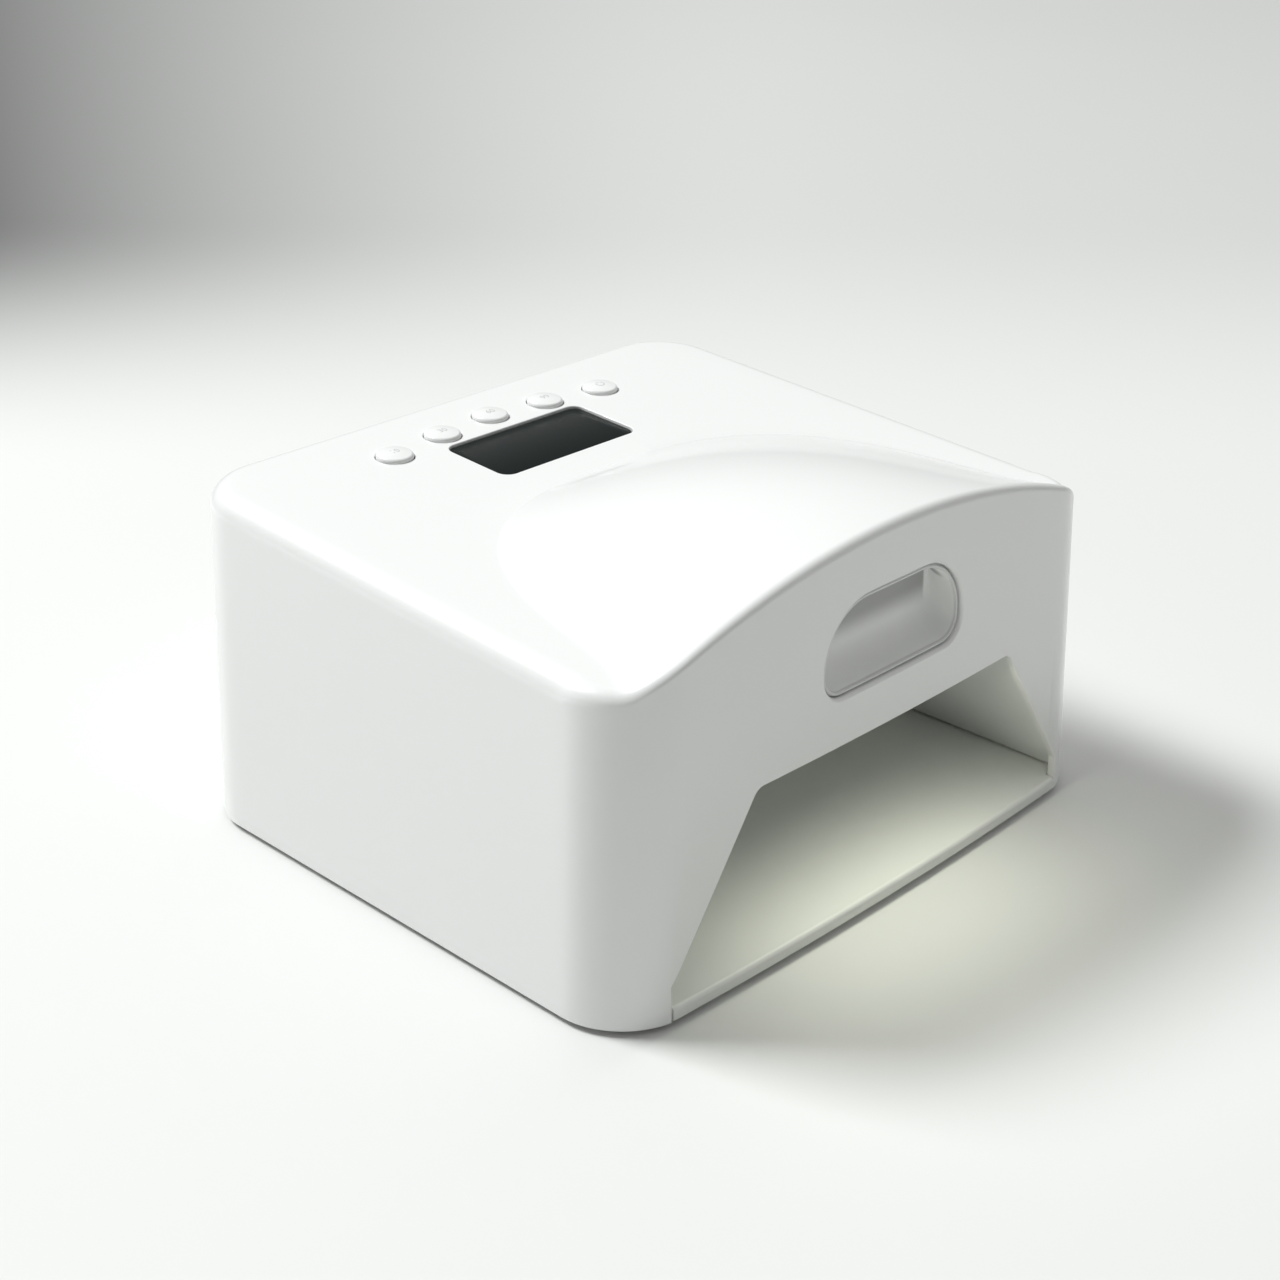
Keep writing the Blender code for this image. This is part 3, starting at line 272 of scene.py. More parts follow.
def add_loft(work, loops, cap_first=True, cap_last=True):
    """Skin a row of closed loops that all have the same number of points."""
    rings = [[work.verts.new(point) for point in loop] for loop in loops]
    count = len(rings[0])
    for lower, upper in zip(rings, rings[1:]):
        for index in range(count):
            following = (index + 1) % count
            work.faces.new((lower[index], lower[following], upper[following], upper[index]))
    if cap_first:
        work.faces.new(rings[0])
    if cap_last:
        work.faces.new(rings[-1])
    return rings


def loft(loops):
    """A closed solid skinned over loops, with flat ends."""
    work = bmesh.new()
    add_loft(work, loops)
    return to_mesh(work)


def repeated(outline, heights):
    """A flat outline at each of some heights."""
    return [[(*point, height) for point in outline] for height in heights]


def circle_loop(radius, height, steps, x=0, y=0):
    """A level circle as a loop of points."""
    turns = [math.tau * step / steps for step in range(steps)]
    return [(x + radius * math.cos(turn), y + radius * math.sin(turn), height) for turn in turns]


def quarter_round(radius, steps, start=0):
    """(inset, rise) pairs of a rounded edge, from its level end or a start angle to its upright end."""
    turns = [start + (math.pi / 2 - start) * step / steps for step in range(steps + 1)]
    return [(radius * (1 - math.sin(turn)), radius * (1 - math.cos(turn))) for turn in turns]


def turned(profile, steps=CIRCLE_STEPS, places=((0, 0),)):
    """Solids of revolution about local Z from (radius, height) points, one at each place."""
    work = bmesh.new()
    for x, y in places:
        add_loft(work, [circle_loop(radius, height, steps, x, y) for radius, height in profile])
    return to_mesh(work)


def add_object(name, data):
    """A new object in the scene."""
    piece = bpy.data.objects.new(name, data)
    bpy.context.scene.collection.objects.link(piece)
    return piece


def make(name, mesh, placing=None):
    """Put a mesh in the scene with its place baked into its points."""
    if placing:
        mesh.transform(placing)
    mesh.name = name
    return add_object(name, mesh)


def shape(target, mesh, placing=None, operation="DIFFERENCE"):
    """Cut or join a tool now, and throw the tool away."""
    tool = make("tool", mesh, placing)
    step = target.modifiers.new("step", "BOOLEAN")
    step.operation = operation
    step.solver = "EXACT"
    step.object = tool
    view = bpy.context.evaluated_depsgraph_get()
    result = bpy.data.meshes.new_from_object(target.evaluated_get(view))
    target.modifiers.remove(step)
    old = target.data
    target.data = result
    bpy.data.meshes.remove(old)
    bpy.data.objects.remove(tool)


def dress(piece, body, slot, replaced=(), sharp=SHARP_ANGLE, finish=None):
    """Smooth a piece, give it its own finish or its slot's, and hang it on its body."""
    piece.data.shade_smooth()
    piece.data.set_sharp_from_angle(angle=sharp)
    piece.data.materials.clear()
    piece.data.materials.append(finish or FINISHES[slot])
    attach(piece, body)
    if replaced:
        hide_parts(*replaced)


def rounded_outline(corners, steps=ROUND_STEPS, divisions=1):
    """A closed 2-D outline from (x, y, radius) corners, with an arc at each and divided straights."""
    arcs = []
    count = len(corners)
    for index, (x, y, radius) in enumerate(corners):
        corner = Vector((x, y))
        if not radius:
            arcs.append([corner])
            continue
        before = Vector(corners[index - 1][:2]) - corner
        after = Vector(corners[(index + 1) % count][:2]) - corner
        before.normalize()
        after.normalize()
        half_angle = before.angle(after) / 2
        reach = radius / math.tan(half_angle)
        centre = corner + (before + after).normalized() * (radius / math.sin(half_angle))
        start = corner + before * reach - centre
        end = corner + after * reach - centre
        sweep = math.atan2(start.cross(end), start.dot(end))
        turns = [Matrix.Rotation(sweep * step / steps, 2) for step in range(steps + 1)]
        arcs.append([centre + turn @ start for turn in turns])
    points = []
    for arc, following in zip(arcs, arcs[1:] + arcs[:1]):
        points += arc
        for step in range(1, divisions):
            points.append(arc[-1].lerp(following[0], step / divisions))
    return points


def mirrored_outline(right, divisions):
    """An outline in XZ from the (x, z, radius) corners of its right half, bottom first."""
    left = [(-x, z, radius) for x, z, radius in reversed(right)]
    return rounded_outline(left[-1:] + right + left[:-1], divisions=divisions)


def rectangle(low_x, low_y, high_x, high_y, radius, steps=ROUND_STEPS):
    """A rounded rectangle outline."""
    return rounded_outline([
        (low_x, low_y, radius),
        (high_x, low_y, radius),
        (high_x, high_y, radius),
        (low_x, high_y, radius),
    ], steps)


def edge_profile(radius):
    """(outwards, depth) pairs of a rounded edge, from outside the skin to the hole's wall."""
    pairs = quarter_round(radius, EDGE_STEPS, EDGE_START)
    reach = (CUT_OVERRUN / 2) / math.sin(EDGE_START)
    outwards, depth = pairs[0]
    first = (outwards + math.cos(EDGE_START) * reach, depth - math.sin(EDGE_START) * reach)
    return [first] + pairs


# Outline of the body: each station is a place along the straight sides and a
# direction outwards, so that one list serves every height and every wall.
def outline_stations():
    """Stations (along_x, along_y, out_x, out_y), anticlockwise from the front left."""
    stations = []
    sides = ((0, -1, FRONT_STEPS), (1, 0, SIDE_STEPS), (0, 1, REAR_STEPS), (-1, 0, SIDE_STEPS))
    for out_x, out_y, steps in sides:
        ahead_x, ahead_y = -out_y, out_x
        for step in range(1, steps + 1):
            along = 2 * step / steps - 1
            stations.append((out_x + ahead_x * along, out_y + ahead_y * along, out_x, out_y))
        for step in range(1, CORNER_STEPS + 1):
            turn = math.atan2(out_y, out_x) + math.pi / 2 * step / CORNER_STEPS
            stations.append((out_x + ahead_x, out_y + ahead_y, math.cos(turn), math.sin(turn)))
    return stations


STATIONS = outline_stations()


def body_sides(height, inset):
    """Half width, front and rear of the body at a height, moved inwards by inset."""
    share = height / FRONT_HEIGHT
    half = BODY_WIDTH / 2 - SIDE_DRAFT * share - inset
    front = FRONT_Y + FRONT_DRAFT * share + inset
    rear = REAR_Y - REAR_DRAFT * share - inset
    return half, front, rear


def body_point(station, height, inset):
    """Plan point of the body's skin at a station, height and inset."""
    along_x, along_y, out_x, out_y = station
    half, front, rear = body_sides(height, inset)
    radius = CORNER_RADIUS - inset
    middle = (front + rear) / 2
    half_depth = (rear - front) / 2
    x = along_x * (half - radius) + out_x * radius
    y = middle + along_y * (half_depth - radius) + out_y * radius
    y -= FRONT_BOW * (1 - (x / half) ** 2) * max(0, -out_y)
    return x, y


def body_loop(height, inset, z):
    """A level loop of the body's skin."""
    return [(*body_point(station, height, inset), z) for station in STATIONS]


def front_face_y(x, height, inset):
    """Y of the front skin at a distance from the middle, into its rounded corners."""
    half, front, rear = body_sides(height, inset)
    radius = CORNER_RADIUS - inset
    past = max(0, abs(x) - (half - radius))
    facing = math.sqrt(1 - (past / radius) ** 2)
    return front + radius * (1 - facing) - FRONT_BOW * (1 - (x / half) ** 2) * facing


def behind_front(point, depth):
    """Y at a depth behind the front skin, at an outline's point in XZ."""
    return front_face_y(point.x, point.y - TABLE_GAP, depth)


def front_loop(outline, depth, further=0):
    """A loop behind the front skin from an outline in XZ, moved back by further."""
    return [(point.x, behind_front(point, depth) + further, point.y) for point in outline]


def upright_loop(outline, y):
    """A loop in an upright plane from an outline in XZ."""
    return [(point.x, y, point.y) for point in outline]


def arch_half_width(share):
    """Half width of the arched rise at a share of its length."""
    rounded = (1 - share ** ARCH_OUTLINE_POWER) ** (1 / ARCH_OUTLINE_POWER)
    flare = (TOP_HALF_WIDTH - ARCH_HALF_WIDTH) * (1 - share) ** ARCH_FLARE_POWER
    return ARCH_HALF_WIDTH * rounded + flare


def arch_shares(x, y):
    """Share of the arch's length, its rise across (0 at its edge, 1 midway) and its foot's softness."""
    along = max(0, (y - FRONT_Y) / ARCH_LENGTH)
    if along >= 1:
        return 1, -1, 0
    soft = ARCH_CREASE_SHARE + ARCH_FOOT_SHARE * (1 - along) ** ARCH_FOOT_POWER
    return along, 1 - (x / arch_half_width(along)) ** 2, soft


def arch_lift(x, y):
    """Height of the arched rise over the sloping top, with a foot that is softest at the front."""
    along, across, soft = arch_shares(x, y)
    if across <= -soft:
        return 0
    if across < soft:
        across = (across + soft) ** 2 / (soft * 4)
    return ARCH_RISE * (1 - along ** 2) * across


def top_height(x, y):
    """Height of the top skin over the body's bottom edge."""
    return FRONT_HEIGHT + TOP_SLOPE * (y - FRONT_Y) + arch_lift(x, y)


def rim_radius(station):
    """Radius of the rim at a station: it tightens round the front corners to the front's."""
    return RIM_RADIUS + (FRONT_RIM_RADIUS - RIM_RADIUS) * max(0, -station[3]) ** RIM_BLEND_POWER


def rim_loop(turn, wall):
    """A loop of the rounded rim: turn runs from the wall to the top."""
    loop = []
    for station in STATIONS:
        radius = rim_radius(station) - wall
        inset = wall + radius * (1 - math.cos(turn))
        drop = wall + radius * (1 - math.sin(turn))
        x, y = body_point(station, FRONT_HEIGHT, inset)
        height = top_height(x, y) - drop
        x, y = body_point(station, height, inset)
        loop.append((x, y, TABLE_GAP + top_height(x, y) - drop))
    return loop


def foot_share(x, y, side):
    """How far from the arch's middle to the rim its foot ends: outside (side 1) or inside (-1)."""
    inner = 0
    outer = 1
    for halving in range(HALVINGS):
        middle = (inner + outer) / 2
        along, across, soft = arch_shares(x * middle, ARCH_MIDDLE_Y + (y - ARCH_MIDDLE_Y) * middle)
        if across > -side * soft:
            inner = middle
        else:
            outer = middle
    return min(inner, OUTER_SHARE_MAX)


def top_rings(edge, wall):
    """Rings of the top from the rim to the arch's middle, with close rings along the arch's foot."""
    shares = []
    for x, y, z in edge:
        outer = foot_share(x, y, 1)
        inner = min(foot_share(x, y, -1), outer * OUTER_SHARE_MAX)
        steps = [1 - (1 - outer) * ring / OUTER_RINGS for ring in range(1, OUTER_RINGS + 1)]
        steps += [outer + (inner - outer) * ring / FOOT_RINGS for ring in range(1, FOOT_RINGS)]
        steps += [inner * (1 - ring / ARCH_RINGS) for ring in range(ARCH_RINGS)]
        shares.append(steps)
    rings = []
    for ring in range(len(shares[0])):
        loop = []
        for (x, y, z), steps in zip(edge, shares):
            ring_x = x * steps[ring]
            ring_y = ARCH_MIDDLE_Y + (y - ARCH_MIDDLE_Y) * steps[ring]
            loop.append((ring_x, ring_y, TABLE_GAP + top_height(ring_x, ring_y) - wall))
        rings.append(loop)
    return rings


def body_shell():
    """The housing before its openings: an outer and an inner skin joined at the bottom."""
    work = bmesh.new()
    bottoms = []
    for wall in (0, SHELL_WALL):
        loops = []
        for inset, level in quarter_round(FOOT_EDGE, EDGE_STEPS):
            inwards = inset if wall == 0 else wall - inset
            loops.append(body_loop(level, inwards, TABLE_GAP + level))
        for step in range(RIM_STEPS + 1):
            loops.append(rim_loop(math.pi / 2 * step / RIM_STEPS, wall))
        loops += top_rings(loops[-1], wall)
        rings = add_loft(work, loops, cap_first=False, cap_last=False)
        peak = work.verts.new((0, ARCH_MIDDLE_Y, TABLE_GAP + top_height(0, ARCH_MIDDLE_Y) - wall))
        last = rings[-1]
        for index, vert in enumerate(last):
            work.faces.new((vert, last[(index + 1) % len(last)], peak))
        bottoms.append(rings[0])
    outer, inner = bottoms
    for index, vert in enumerate(outer):
        following = (index + 1) % len(outer)
        work.faces.new((vert, outer[following], inner[following], inner[index]))
    return to_mesh(work)


# Hand tunnel: the opening in the front face stands upright below its knee, and
# the liner behind it runs straight down to the tray, MOUTH_LIP further out.
def tunnel_slope():
    """Unit direction up the right slanted wall and its outward direction, in XZ."""
    along = Vector((TUNNEL_TOP_HALF - TUNNEL_BOTTOM_HALF, TUNNEL_TOP - TUNNEL_KNEE)).normalized()
    return along, Vector((along.y, -along.x))


def slanted_wall_x(height, reach):
    """X of the right slanted wall at a height, moved outwards by reach."""
    along, outward = tunnel_slope()
    start = Vector((TUNNEL_BOTTOM_HALF, TUNNEL_KNEE)) + outward * reach
    return start.x + along.x * (height - start.y) / along.y


def tunnel_shoulder(reach):
    """The rounded corner between the tunnel's ceiling and its right wall, moved outwards by reach."""
    ceiling = TUNNEL_TOP + reach
    return slanted_wall_x(ceiling, reach), ceiling, TUNNEL_CORNER


def mouth_outline(reach):
    """The opening in the front face, in XZ, moved outwards by reach and open below."""
    side = slanted_wall_x(TUNNEL_KNEE, reach)
    right = [(side, -CUT_OVERRUN, 0), (side, TUNNEL_KNEE, 0), tunnel_shoulder(reach)]
    return mirrored_outline(right, TUNNEL_DIVISIONS)


def tunnel_outline(reach, bottom):
    """The liner's outline in XZ, moved outwards by reach and open below to bottom."""
    foot = (slanted_wall_x(bottom, reach), bottom, 0)
    return mirrored_outline([foot, tunnel_shoulder(reach)], TUNNEL_DIVISIONS)


def tunnel_solid(wall, bottom, front_overrun):
    """The tunnel as a solid, with a rounded rear end."""
    reach = MOUTH_LIP + wall
    loops = [front_loop(tunnel_outline(reach, bottom), SHELL_WALL + GAP, -front_overrun)]
    for drop, inset in quarter_round(TUNNEL_END_RADIUS, ROUND_STEPS):
        y = TUNNEL_END_Y + reach - drop
        loops.append(upright_loop(tunnel_outline(reach - inset, bottom), y))
    return loft(loops)


def slot_outline(reach):
    """The handle slot's outline in XZ, moved outwards by reach."""
    half = SLOT_WIDTH / 2 + reach
    low = SLOT_BOTTOM - reach
    high = SLOT_BOTTOM + SLOT_HEIGHT + reach
    right = [(half, low, SLOT_LOWER_RADIUS + reach), (half, high, SLOT_UPPER_RADIUS + reach)]
    return mirrored_outline(right, SLOT_DIVISIONS)


def through_front(outline_at, radius):
    """A cutter through the front wall, whose edge at the skin is rounded by radius."""
    profile = edge_profile(radius)
    near = FRONT_Y - FRONT_BOW - CUT_OVERRUN
    far = FRONT_Y + FRONT_DRAFT * 2 + SHELL_WALL + CUT_OVERRUN
    loops = [upright_loop(outline_at(profile[0][0]), near)]
    loops += [front_loop(outline_at(outwards), 0, depth) for outwards, depth in profile]
    loops.append(upright_loop(outline_at(0), far))
    return loft(loops)


def through_top(outline_at, radius):
    """A cutter through the sloping top, in the panel's frame, with a rounded edge."""
    loops = []
    for outwards, depth in edge_profile(radius):
        loops += repeated(outline_at(outwards), [-depth])
    loops += repeated(outline_at(0), [-SHELL_WALL - CUT_OVERRUN])
    return loft(loops)


def panel_frame():
    """The middle of the display on the sloping top: local Z leaves the top square to it."""
    height = TABLE_GAP + top_height(0, PANEL_Y)
    return Matrix.Translation((0, PANEL_Y, height)) @ Matrix.Rotation(math.atan(TOP_SLOPE), 4, "X")


def button_frame(index):
    """A button's axis: local Z leaves the top square to it."""
    from_middle = index - (BUTTON_COUNT - 1) / 2
    y = BUTTON_ROW - BUTTON_ROW_SAG * BUTTON_SAG_SHARES[index]
    return panel_frame() @ Matrix.Translation((from_middle * BUTTON_PITCH, y, 0))


def jack_frame():
    """The charging jack's axis: local Z points into the body from the rear face."""
    half, front, rear = body_sides(JACK_Z - TABLE_GAP, 0)
    return Matrix.Translation((0, rear, JACK_Z)) @ Matrix.Rotation(math.pi / 2, 4, "X")


def window_outline(reach):
    """The display window's outline, moved outwards by reach."""
    half_width = WINDOW_WIDTH / 2 + reach
    half_depth = WINDOW_DEPTH / 2 + reach
    return rectangle(-half_width, -half_depth, half_width, half_depth, WINDOW_CORNER + reach)


def outer_housing():
    """The moulded housing with every edge of its openings rounded."""
    housing = make("housing_shell", body_shell())
    shape(housing, through_front(mouth_outline, OPENING_EDGE))
    shape(housing, through_front(slot_outline, SLOT_EDGE))
    recess = through_top(lambda out: window_outline(out + GAP), WINDOW_EDGE)
    shape(housing, recess, panel_frame())

    def button_hole(out):
        radius = BUTTON_RADIUS + BUTTON_HOLE_GAP + out
        return [point[:2] for point in circle_loop(radius, 0, CIRCLE_STEPS)]

    for index in range(BUTTON_COUNT):
        shape(housing, through_top(button_hole, BUTTON_HOLE_EDGE), button_frame(index))
    profile = [(JACK_COLLAR_RADIUS + GAP + out, depth) for out, depth in edge_profile(SMALL_EDGE)]
    profile.append((JACK_COLLAR_RADIUS + GAP, SHELL_WALL + CUT_OVERRUN))
    shape(housing, turned(profile), jack_frame())
    dress(housing, "lamp", "gloss_white", ["outer_housing"], HOUSING_SHARP)


def row(count, length):
    """Evenly spaced places along a length, about its middle."""
    return [(index / (count - 1) - 1 / 2) * length for index in range(count)]


def led_rows():
    """For each board, its frame on the tunnel's inner skin and its LED places there."""
    along, outward = tunnel_slope()
    tilt = math.atan2(outward.x, outward.y)
    height = (TUNNEL_TOP + TUNNEL_KNEE) / 2
    middle = Vector((slanted_wall_x(height, MOUTH_LIP), (ROW_START_Y + ROW_END_Y) / 2, height))
    length = ROW_END_Y - ROW_START_Y
    side_row = [(0, y) for y in row(SIDE_LEDS, length)]
    ceiling = [
        (x, y)
        for x in row(CEILING_COLUMNS, (TUNNEL_TOP_HALF - CEILING_SIDE_SPACE) * 2)
        for y in row(CEILING_ROWS, length)
    ]
    rear = [(x, 0) for x in row(REAR_LEDS, (TUNNEL_TOP_HALF - REAR_SIDE_SPACE) * 2)]
    turn = Matrix.Rotation
    rear_place = Matrix.Translation((0, TUNNEL_END_Y + MOUTH_LIP, REAR_LED_Z))
    return {
        "ceiling": (Matrix.Translation((0, middle.y, TUNNEL_TOP + MOUTH_LIP)), ceiling),
        "left": (Matrix.Translation((-middle.x, middle.y, middle.z)) @ turn(-tilt, 4, "Y"), side_row),
        "right": (Matrix.Translation(middle) @ turn(tilt, 4, "Y"), side_row),
        "rear": (rear_place @ turn(-math.pi / 2, 4, "X"), rear),
    }


def screw_places():
    """Plan places of the four screws that hold the liner."""
    half, front, rear = body_sides(FLANGE_HEIGHT + FLANGE_THICKNESS + SCREW_BOSS_LENGTH, 0)
    x = half - SHELL_WALL * (1 - BOSS_WALL_SHARE) - SCREW_BOSS_RADIUS
    return [(side * x, end * SCREW_Y) for end in (-1, 1) for side in (-1, 1)]


def bores(radius, low, high, places):
    """Round cutters through a wall between two heights, one at each place."""
    profile = [(radius, low - CUT_OVERRUN), (radius, high + CUT_OVERRUN)]
    return turned(profile, steps=LED_STEPS, places=places)


def chamber_liner(rows):
    """The reflector: a tunnel on a flange, with a hole for each LED."""
    liner = make("reflector", tunnel_solid(LINER_WALL, TRAY_TOP + TRAY_GAP + SEAM_SHOWN, 0))
    flange = loft([
        body_loop(FLANGE_HEIGHT - TABLE_GAP + level, SHELL_WALL + GAP, FLANGE_HEIGHT + level)
        for level in (0, FLANGE_THICKNESS)
    ])
    shape(liner, flange, operation="UNION")
    shape(liner, tunnel_solid(0, TRAY_TOP - CUT_OVERRUN, CUT_OVERRUN * 2))
    for placing, places in rows.values():
        shape(liner, bores(LED_RADIUS + LED_HOLE_GAP, 0, LINER_WALL, places), placing)
    eye = bores(SENSOR_RADIUS + GAP, 0, LINER_WALL, [(0, REAR_LED_Z - SENSOR_Z)])
    shape(liner, eye, rows["rear"][0])
    screws = bores(SCREW_RADIUS + GAP, FLANGE_HEIGHT, FLANGE_HEIGHT + FLANGE_THICKNESS, screw_places())
    shape(liner, screws)
    dress(liner, "lamp", "liner_white", ["chamber_liner"])


def led_boards(dome_finish, rows):
    """Boards on the liner, and their LEDs' domes through its holes."""
    margin = LED_BOARD_MARGIN
    low = LINER_WALL + GAP
    high = low + LED_BOARD_THICKNESS
    for side, (placing, places) in rows.items():
        xs = [x for x, y in places]
        ys = [y for x, y in places]
        outline = rectangle(
            min(xs) - margin, min(ys) - margin, max(xs) + margin, max(ys) + margin,
            LED_BOARD_CORNER, EDGE_STEPS,
        )
        board = make("led_board_%s_laminate" % side, loft(repeated(outline, (low, high))), placing)
        dress(board, "lamp", "board_white", ["led_board_" + side])
        profile = [(LED_RADIUS, low), (LED_RADIUS, 0)]
        for step in range(1, EDGE_STEPS + 1):
            turn = math.pi / 2 * step / (EDGE_STEPS + 1)
            profile.append((LED_RADIUS * math.cos(turn), -LED_PROUD * math.sin(turn)))
        domes = make("led_domes_" + side, turned(profile, steps=LED_STEPS, places=places), placing)
        dress(domes, "lamp", "board_white", sharp=DOME_SHARP, finish=dome_finish)


def pocket_loop(share, reach):
    """A loop of the scooped pocket at a share of its depth, moved outwards by reach."""
    turn = math.pi / 2 * share
    depth = POCKET_DEPTH * math.sin(turn)
    inset = POCKET_SEAM + POCKET_WALL
    drawn_in = inset + POCKET_DRAFT * share + POCKET_EDGE * (1 - math.cos(turn)) ** 2
    side = SLOT_WIDTH / 2 - drawn_in
    high = SLOT_BOTTOM + SLOT_HEIGHT - drawn_in
    low = SLOT_BOTTOM + inset + POCKET_SCOOP * (1 - math.cos(turn)) ** POCKET_SCOOP_POWER
    lower_radius = min(SLOT_LOWER_RADIUS - inset, (high - low) / 2 - POCKET_DRAFT)
    upper_radius = min(SLOT_UPPER_RADIUS - inset, (high - low) - lower_radius - POCKET_DRAFT)
    outline = mirrored_outline([
        (side + reach, low - reach, lower_radius + reach),
        (side + reach, high + reach, upper_radius + reach),
    ], SLOT_DIVISIONS)
    return front_loop(outline, POCKET_BACKSET, depth + reach * share)


def lip_loops():
    """The pocket's rounded lip, from its outside over the front to its inside."""
    radius = POCKET_WALL / 2
    loops = []
    for step in range(EDGE_STEPS * 2 + 1):
        turn = math.pi * step / (EDGE_STEPS * 2)
        rounding = radius * (1 - math.sin(turn))
        loop = pocket_loop(0, radius + radius * math.cos(turn))
        loops.append([(x, y + rounding, z) for x, y, z in loop])
    return loops


def handle_pocket(finish):
    """The finger pocket: one skin from its outside, over the lip, into the scoop, and its flange."""
    outside = [pocket_loop(step / POCKET_STEPS, POCKET_WALL) for step in range(POCKET_STEPS, 0, -1)]
    inside = [pocket_loop(step / POCKET_STEPS, 0) for step in range(1, POCKET_STEPS + 1)]
    cup = make("finger_pocket", loft(outside + lip_loops() + inside))
    rim = slot_outline(POCKET_FLANGE)
    flange = [front_loop(rim, SHELL_WALL + GAP, level) for level in (0, POCKET_WALL)]
    shape(cup, loft(flange), operation="UNION")
    shape(cup, loft([pocket_loop(0, 0)] + inside))
    dress(cup, "lamp", "gloss_white", ["handle_pocket"], finish=finish)


def display_window():
    """The smoked window, with a small chamfered edge, in its recess."""
    third = SMALL_EDGE / 3
    loops = []
    for inset, depth in ((0, WINDOW_THICKNESS), (0, SMALL_EDGE), (third, third), (SMALL_EDGE, 0)):
        loops += repeated(window_outline(-inset), [-WINDOW_RECESS - depth])
    pane = make("window_pane", loft(loops), panel_frame())
    dress(pane, "lamp", "window_black", ["display_window"])


def button_caps():
    """Round caps with a softly rounded edge and a slight crown."""
    collar_top = -SHELL_WALL - GAP
    collar_bottom = collar_top - BUTTON_COLLAR
    shoulder = BUTTON_PROUD - BUTTON_CROWN - BUTTON_EDGE
    profile = [
        (BUTTON_STEM_RADIUS, collar_bottom - BUTTON_STEM_LENGTH),
        (BUTTON_STEM_RADIUS, collar_bottom),
        (BUTTON_RADIUS + BUTTON_COLLAR_REACH, collar_bottom),
        (BUTTON_RADIUS + BUTTON_COLLAR_REACH, collar_top),
        (BUTTON_RADIUS, collar_top),
        (BUTTON_RADIUS, shoulder),
    ]
    for step in range(1, ROUND_STEPS):
        turn = math.pi / 2 * step / ROUND_STEPS
        radius = BUTTON_RADIUS - BUTTON_EDGE * (1 - math.cos(turn))
        profile.append((radius, shoulder + BUTTON_EDGE * math.sin(turn)))
    crown_radius = BUTTON_RADIUS - BUTTON_EDGE
    for step in range(ROUND_STEPS):
        share = 1 - step / ROUND_STEPS
        profile.append((crown_radius * share, BUTTON_PROUD - BUTTON_CROWN * share ** 2))
    for index in range(BUTTON_COUNT):
        node = "button_%d" % (index + 1)
        cap = make("button_cap_%d" % (index + 1), turned(profile), button_frame(index))
        dress(cap, node, "gloss_white", [node])


def crown_height(x, y):
    """Height of a cap's crown over the sloping top, at a place near its middle."""
    return BUTTON_PROUD - BUTTON_CROWN * (x ** 2 + y ** 2) / (BUTTON_RADIUS - BUTTON_EDGE) ** 2


def onto_crown(work):
    """Lay a flat, closed mark on a cap's crown: its top just over it and its underside in it."""
    for vert in work.verts:
        level = MARK_PROUD if vert.co.z > 0 else -MARK_SUNK
        vert.co.z = crown_height(vert.co.x, vert.co.y) + level


def time_mark(words):
    """A time in plain figures."""
    curve = bpy.data.curves.new("figures", "FONT")
    curve.body = words
    curve.size = MARK_SIZE
    curve.align_x = "CENTER"
    curve.align_y = "CENTER"
    curve.extrude = MARK_SUNK
    figures = add_object("figures", curve)
    view = bpy.context.evaluated_depsgraph_get()
    flat = bpy.data.meshes.new_from_object(figures.evaluated_get(view))
    work = bmesh.new()
    work.from_mesh(flat)
    onto_crown(work)
    bpy.data.meshes.remove(flat)
    bpy.data.objects.remove(figures)
    bpy.data.curves.remove(curve)
    return to_mesh(work)


def power_mark():
    """The usual sign for on and off: a ring open at the top, with a bar in the opening."""
    half = MARK_STROKE / 2
    sweep = math.tau - MARK_OPEN * 2
    turns = [MARK_OPEN + sweep * step / LED_STEPS for step in range(LED_STEPS + 1)]
    ring = []
    for radius, order in ((MARK_RING + half, 1), (MARK_RING - half, -1)):
        for turn in turns[::order]:
            ring.append((radius * math.sin(turn), radius * math.cos(turn)))
    low = MARK_RING / 2
    high = MARK_RING * MARK_BAR_SHARE
    bar = [(-half, low), (half, low), (half, high), (-half, high)]
    work = bmesh.new()
    for outline in (ring, bar):
        add_loft(work, repeated(outline, (-MARK_SUNK, MARK_SUNK)))
    onto_crown(work)
    return to_mesh(work)


def button_marks(finish):
    """A printed time on the first four caps and the power sign on the last."""
    for index in range(BUTTON_COUNT):
        mesh = time_mark(BUTTON_TIMES[index]) if index < len(BUTTON_TIMES) else power_mark()
        mark = make("button_mark_%d" % (index + 1), mesh, button_frame(index))
        dress(mark, "button_%d" % (index + 1), "gloss_white", finish=finish)


def tray_outline(drawn_in):
    """The tray's plan: inside the walls, and between the legs up to the front face less drawn_in."""
    inner_inset = SHELL_WALL + TRAY_GAP
    tongue = TUNNEL_BOTTOM_HALF - TRAY_GAP
    corner_y = front_face_y(tongue, 0, 0) + drawn_in
    points = [(-tongue, corner_y)]
    for station in STATIONS:
        x, y = body_point(station, 0, 0)
        if station[3] < 0 and abs(x) < tongue:
            points.append((x, y + drawn_in))
    points.sort()
    points += [(tongue, corner_y), (tongue, front_face_y(tongue, 0, inner_inset))]
    around = []
    for station in STATIONS:
        x, y = body_point(station, 0, inner_inset)
        if station[3] >= 0 or abs(x) > tongue:
            around.append((x, y))
    start = next(index for index, (x, y) in enumerate(around) if x > tongue)
    points += around[start:] + around[:start]
    points.append((-tongue, front_face_y(tongue, 0, inner_inset)))
    return points


def box_middle(node):
    """Plan place of the middle of a node's solid."""
    low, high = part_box(node)
    return (low[0] + high[0]) / 2, (low[1] + high[1]) / 2


